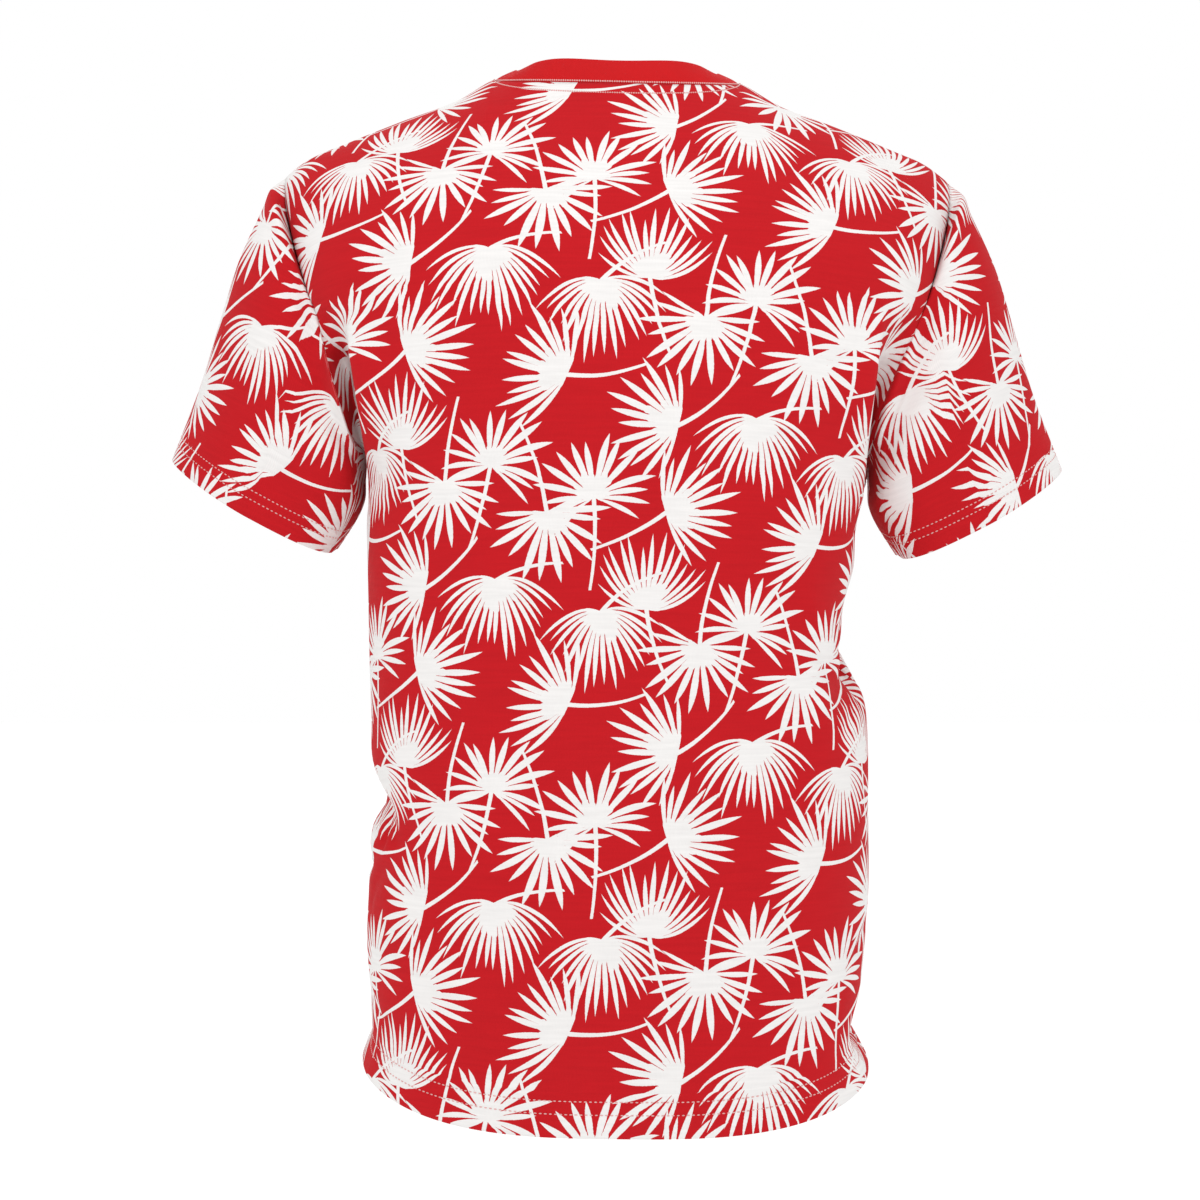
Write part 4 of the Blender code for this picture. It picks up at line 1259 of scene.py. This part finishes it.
def rib(name):
    """Fine rib: upright ridges, plain red, with painted shade in the grooves between them."""
    made, tree, shader = new_finish(name, COTTON)
    place = add(tree, "ShaderNodeUVMap", uv_map="print").outputs[0]
    x = add(tree, "ShaderNodeSeparateXYZ", (place,)).outputs[0]
    shift = calc(tree, "MULTIPLY", noise(tree, place, RIB_SCALE, 1), RIB_SHIFT)
    ridges = calc(tree, "SINE", calc(tree, "MULTIPLY_ADD", x, 2 * math.pi / RIB_PITCH, shift))
    clouds = noise(tree, place, RIB_CLOUD_SCALE, 3)
    tone = calc(tree, "MULTIPLY_ADD", clouds, RIB_CLOUD_TONE, RIB_TONE)
    # painted shade of the rib: the colour is darker in the grooves between its ridges
    toned(tree, shader, BAND_RED, calc(tree, "MULTIPLY_ADD", ridges, RIDGE_PAINTED_SHADE, tone))
    bumped(tree, shader, ridges, *RIB_RELIEF)
    feed(tree, shader.inputs["Roughness"], calc(tree, "MULTIPLY_ADD", clouds, *COTTON_ROUGH))
    return made


# %% Make the band
band = plump(band_grid())[::-1]
open_grids["neckband"] = opened(band)
patterns["neckband"] = np.stack(flat_places(opened(band)), axis=2)
wall = np.full(len(band), RIB)
neckband = cloth("neckband_rib", band, wall, patterns["neckband"], True, True, 0, (FOLDED, SEWN))
neckband.data.materials.append(rib("red rib"))

# %% [markdown]
# ## Stitching
# A double row of stitches holds each hem, and another runs along the neck seam. Each stitch is a
# short length of pale thread that dips into the cloth at both ends. Geometry Nodes repeat it: the
# rows are guide lines on the cloth, resampled to the stitch length, with one thin ellipsoid on each
# point, turned along the line and flat on the cloth.

# %% Guide lines on the cloth
def line_at(points, normals, up, heights, columns):
    """Where columns of a grid reach given heights on the flat cloth, and the way out there."""
    found = np.array([
        [np.interp(at, up[:, c], values[:, c, k]) for values in (points, normals) for k in range(3)]
        for at, c in zip(heights, columns)
    ])
    return leaned(found[:, :3]), found[:, 3:]


def lines_at(points, normals, up, heights):
    """Whole lines along a grid, at heights above its first row."""
    columns = range(points.shape[1])
    return [line_at(points, normals, up, [at] * len(columns), columns) for at in heights]


def guide(name, lines, closed):
    """A mesh of edges only, with the direction outwards at each point."""
    mesh = bpy.data.meshes.new(name)
    points, edges, out = [], [], []
    for line, way in lines:
        first = len(points)
        points += line.tolist()
        out += way.tolist()
        edges += [(first + i, first + i + 1) for i in range(len(line) - 1)]
        if closed:
            edges.append((len(points) - 1, first))
    mesh.from_pydata(points, edges, [])
    mesh.attributes.new("out", "FLOAT_VECTOR", "POINT").data.foreach_set("vector", np.ravel(out))
    return placed(name, mesh)


# %% The nodes that sew
HEM_STITCH = (0.0033, 0.0023, 0.0009)  # pitch, length and width, in metres
NECK_STITCH = (0.0016, 0.0014, 0.0013)
THREAD = 0.0006  # its thickness
THREAD_RAISE = 0.2  # how much of that it lies above the cloth
STITCH_UNEVEN = 0.12  # how much shorter than the longest a stitch may be


def stitch_nodes():
    """Geometry Nodes that turn guide lines into rows of thread."""
    tree = bpy.data.node_groups.new("stitch rows", "GeometryNodeTree")
    face = tree.interface
    face.new_socket("Geometry", in_out="INPUT", socket_type="NodeSocketGeometry")
    for name in ("Pitch", "Length", "Width", "Thickness", "Raise", "Uneven"):
        face.new_socket(name, in_out="INPUT", socket_type="NodeSocketFloat")
    face.new_socket("Thread", in_out="INPUT", socket_type="NodeSocketMaterial")
    face.new_socket("Geometry", in_out="OUTPUT", socket_type="NodeSocketGeometry")
    given = add(tree, "NodeGroupInput").outputs
    line = add(tree, "GeometryNodeMeshToCurve", (given["Geometry"],)).outputs[0]
    spaced = {"Curve": line, "Length": given["Pitch"]}
    line = add(tree, "GeometryNodeResampleCurve", spaced, mode="LENGTH").outputs[0]
    out = add(tree, "GeometryNodeInputNamedAttribute", {"Name": "out"}, data_type="FLOAT_VECTOR").outputs[0]
    lift = add(tree, "ShaderNodeVectorMath", {0: out, "Scale": given["Raise"]}, operation="SCALE").outputs[0]
    line = add(tree, "GeometryNodeSetPosition", {"Geometry": line, "Offset": lift}).outputs[0]
    along = add(tree, "GeometryNodeInputTangent").outputs[0]
    turn = add(tree, "FunctionNodeAlignRotationToVector", {"Vector": along}, axis="X").outputs[0]
    flat = {"Rotation": turn, "Vector": out}
    turn = add(tree, "FunctionNodeAlignRotationToVector", flat, axis="Z", pivot_axis="X").outputs[0]
    less = calc(tree, "SUBTRACT", 1.0, given["Uneven"])
    random = add(tree, "FunctionNodeRandomValue", {"Min": less, "Max": 1.0, "Seed": 3}, data_type="FLOAT")
    size = [s for s in random.inputs if s.type == "VALUE" and s.enabled]
    tree.links.new(less, size[0])
    length = calc(tree, "MULTIPLY", given["Length"], [s for s in random.outputs if s.enabled][0])
    size = add(tree, "ShaderNodeCombineXYZ", (length, given["Width"], given["Thickness"])).outputs[0]
    thread = add(tree, "GeometryNodeMeshUVSphere", {"Segments": 8, "Rings": 5, "Radius": 0.5}).outputs[0]
    each = {"Points": line, "Instance": thread, "Rotation": turn, "Scale": size}
    rows = add(tree, "GeometryNodeInstanceOnPoints", each).outputs[0]
    rows = add(tree, "GeometryNodeRealizeInstances", (rows,)).outputs[0]
    rows = add(tree, "GeometryNodeSetShadeSmooth", {"Geometry": rows}).outputs[0]
    rows = add(tree, "GeometryNodeSetMaterial", {"Geometry": rows, "Material": given["Thread"]}).outputs[0]
    add(tree, "NodeGroupOutput", (rows,))
    return tree


# %% Thread
THREAD_PINK = (0.74, 0.40, 0.385, 1)
THREAD_TONE = (0.4, 0.75)  # lighter by chance, and the darkest
THREAD_NOISE = ((500, 2), (4000, 1))  # scale and detail, of its tone and of its twist
THREAD_RELIEF = (0.3, 0.0001)


def thread_material():
    """Pale polyester thread, finely twisted."""
    plain = {"Roughness": 0.55, "Specular IOR Level": 0.3}
    made, tree, shader = new_finish("pale polyester thread", plain)
    place = add(tree, "ShaderNodeTexCoord").outputs["Object"]
    uneven, twist = (
        add(tree, "ShaderNodeTexNoise", {"Vector": place, "Scale": scale, "Detail": detail}).outputs["Fac"]
        for scale, detail in THREAD_NOISE
    )
    toned(tree, shader, THREAD_PINK, calc(tree, "MULTIPLY_ADD", uneven, *THREAD_TONE))
    bumped(tree, shader, twist, *THREAD_RELIEF)
    return made


sewing = stitch_nodes()
thread_finish = thread_material()


# %% Sew along guide lines
def sewn(name, lines, closed=True, stitch=HEM_STITCH):
    """Stitches along guide lines, as a plain mesh."""
    pitch, length, width = stitch
    line = guide(name, lines, closed)
    modifier = line.modifiers.new("stitches", "NODES")
    modifier.node_group = sewing
    sockets = {item.name: item.identifier for item in sewing.interface.items_tree if item.in_out == "INPUT"}
    sizes = {"Pitch": pitch, "Length": length, "Width": width, "Thickness": THREAD}
    sizes |= {"Raise": THREAD * THREAD_RAISE, "Uneven": STITCH_UNEVEN, "Thread": thread_finish}
    for key, value in sizes.items():
        modifier[sockets[key]] = value
    view = bpy.context.evaluated_depsgraph_get()
    mesh = bpy.data.meshes.new_from_object(line.evaluated_get(view))
    bpy.data.objects.remove(line)
    print(name, "has", len(mesh.polygons), "faces")
    return placed(name, mesh)


# %% Sew the hems and the cuffs
stitching = {}
for name, panel in (("back", back), ("front", front)):
    normals = normals_of(panel.points, False, panel.sign > 0)
    lines = lines_at(panel.points, normals, panel.flat[..., 1], HEM_STITCHES)
    stitching[name] = sewn("hem_stitches_" + name, lines, closed=False)
for name, grid in sleeves.items():
    normals = normals_of(grid, True, name == "sleeve_left")
    lines = lines_at(grid, normals, flat_places(grid)[1], CUFF_STITCHES)
    stitching[name] = sewn("cuff_stitches_" + name, lines)

# %% Sew the neck, on the band and on the panels
above, below = NECK_STITCHES
upright = band[::-1]
lines = lines_at(upright, normals_of(upright, True, False), flat_places(upright)[1], [above])
parts = []
for panel, way in ((back, -1), (front, 1)):
    normals = normals_of(panel.points, False, panel.sign > 0)
    up = panel.flat[..., 1]
    columns = list(range(HALF_COLUMNS - NECK_COLUMNS, HALF_COLUMNS + NECK_COLUMNS + 1))[::way]
    columns = columns if way < 0 else columns[1:-1]
    parts.append(line_at(panel.points, normals, up, [up[-1, c] - below for c in columns], columns))
lines.append([np.concatenate(part) for part in zip(*parts)])
stitching["neckband"] = sewn("neck_stitches", lines, stitch=NECK_STITCH)

# %% [markdown]
# ## What stands for what
# Each piece of cloth stands for the solid of the same name, which is hidden but stays for collision.
# The cloth and its stitches ride on the root.

# %% Ride and replace
for name, piece in {**printed, "neckband": neckband}.items():
    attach(piece, "root")
    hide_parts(name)
    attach(stitching[name], "root")

# %% [markdown]
# ## Floor, light and camera
# The shirt hangs in the air as if worn, in a bright even room, so folds show as soft shade with no
# hard shadow. A white world gives most of the light. Soft lights above the back and the front make
# the shoulders a little brighter. The camera looks level at the shirt's back from close by.

# %% Floor
FLOOR_DROP = 0.35  # below the hem
FLOOR_HALF = 12.0  # half its width
FLOOR_WHITE = (0.93, 0.93, 0.93, 1)
WHITE_LIGHT = (1, 1, 1, 1)
floor_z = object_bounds()[0].z - FLOOR_DROP
mesh = bpy.data.meshes.new("floor")
corners = [(x * FLOOR_HALF, y * FLOOR_HALF, floor_z) for x, y in ((-1, -1), (1, -1), (1, 1), (-1, 1))]
mesh.from_pydata(corners, [], [(0, 1, 2, 3)])
paint = {"Base Color": FLOOR_WHITE, "Roughness": 0.9}
glow = {"Emission Color": WHITE_LIGHT, "Emission Strength": 0.12}
mesh.materials.append(new_finish("pale floor", {**paint, **glow})[0])
placed("floor", mesh)

# %% Light
world = bpy.data.worlds.new("white room")
world.use_nodes = True
world.node_tree.nodes["Background"].inputs["Color"].default_value = WHITE_LIGHT
world.node_tree.nodes["Background"].inputs["Strength"].default_value = 1.0
bpy.context.scene.world = world
bpy.context.scene.view_settings.view_transform = "Standard"
LIGHTS = {  # place, width and power, behind the shirt
    "key": ((0.12, 1.15, 0.45), 0.9, 2.4),  # some way off
    "top": ((-0.10, 0.72, 0.52), 0.6, 0.75),  # close above the shoulders
}
SHOULDERS = (0.0, 0.1, -0.1)  # what both aim at


def soft_light(name, place, aim, size, power):
    """A square light that isn't seen itself."""
    lamp = bpy.data.lights.new(name, "AREA")
    lamp.size, lamp.energy = size, power
    light = placed(name, lamp)
    light.visible_camera = False
    light.location = place
    light.rotation_euler = (aim - light.location).to_track_quat("-Z", "Y").to_euler()


# The same two again in front, turned half round.
for side, way in (("back", 1), ("front", -1)):
    half_turn = Vector((way, way, 1))
    for kind, (place, size, power) in LIGHTS.items():
        soft_light(side + "_" + kind, Vector(place) * half_turn, Vector(SHOULDERS) * half_turn, size, power)

# %% Camera
CAMERA_AWAY = 1.7
CAMERA_ASIDE, CAMERA_LOWER = 0.0119, 0.012  # from the middle of the shirt
VIEW_HIGH = 0.84  # how much is in view at the shoulder seams
SENSOR = 36  # millimetres
camera = placed("camera", bpy.data.cameras.new("camera"))
camera.data.sensor_width = SENSOR
camera.data.lens = SENSOR * CAMERA_AWAY / VIEW_HIGH
middle = (cad_low + cad_high) / 2
camera.location = (middle.x + CAMERA_ASIDE, CAMERA_AWAY, middle.z - CAMERA_LOWER)
camera.rotation_euler = (math.pi / 2, 0, math.pi)
bpy.context.scene.camera = camera
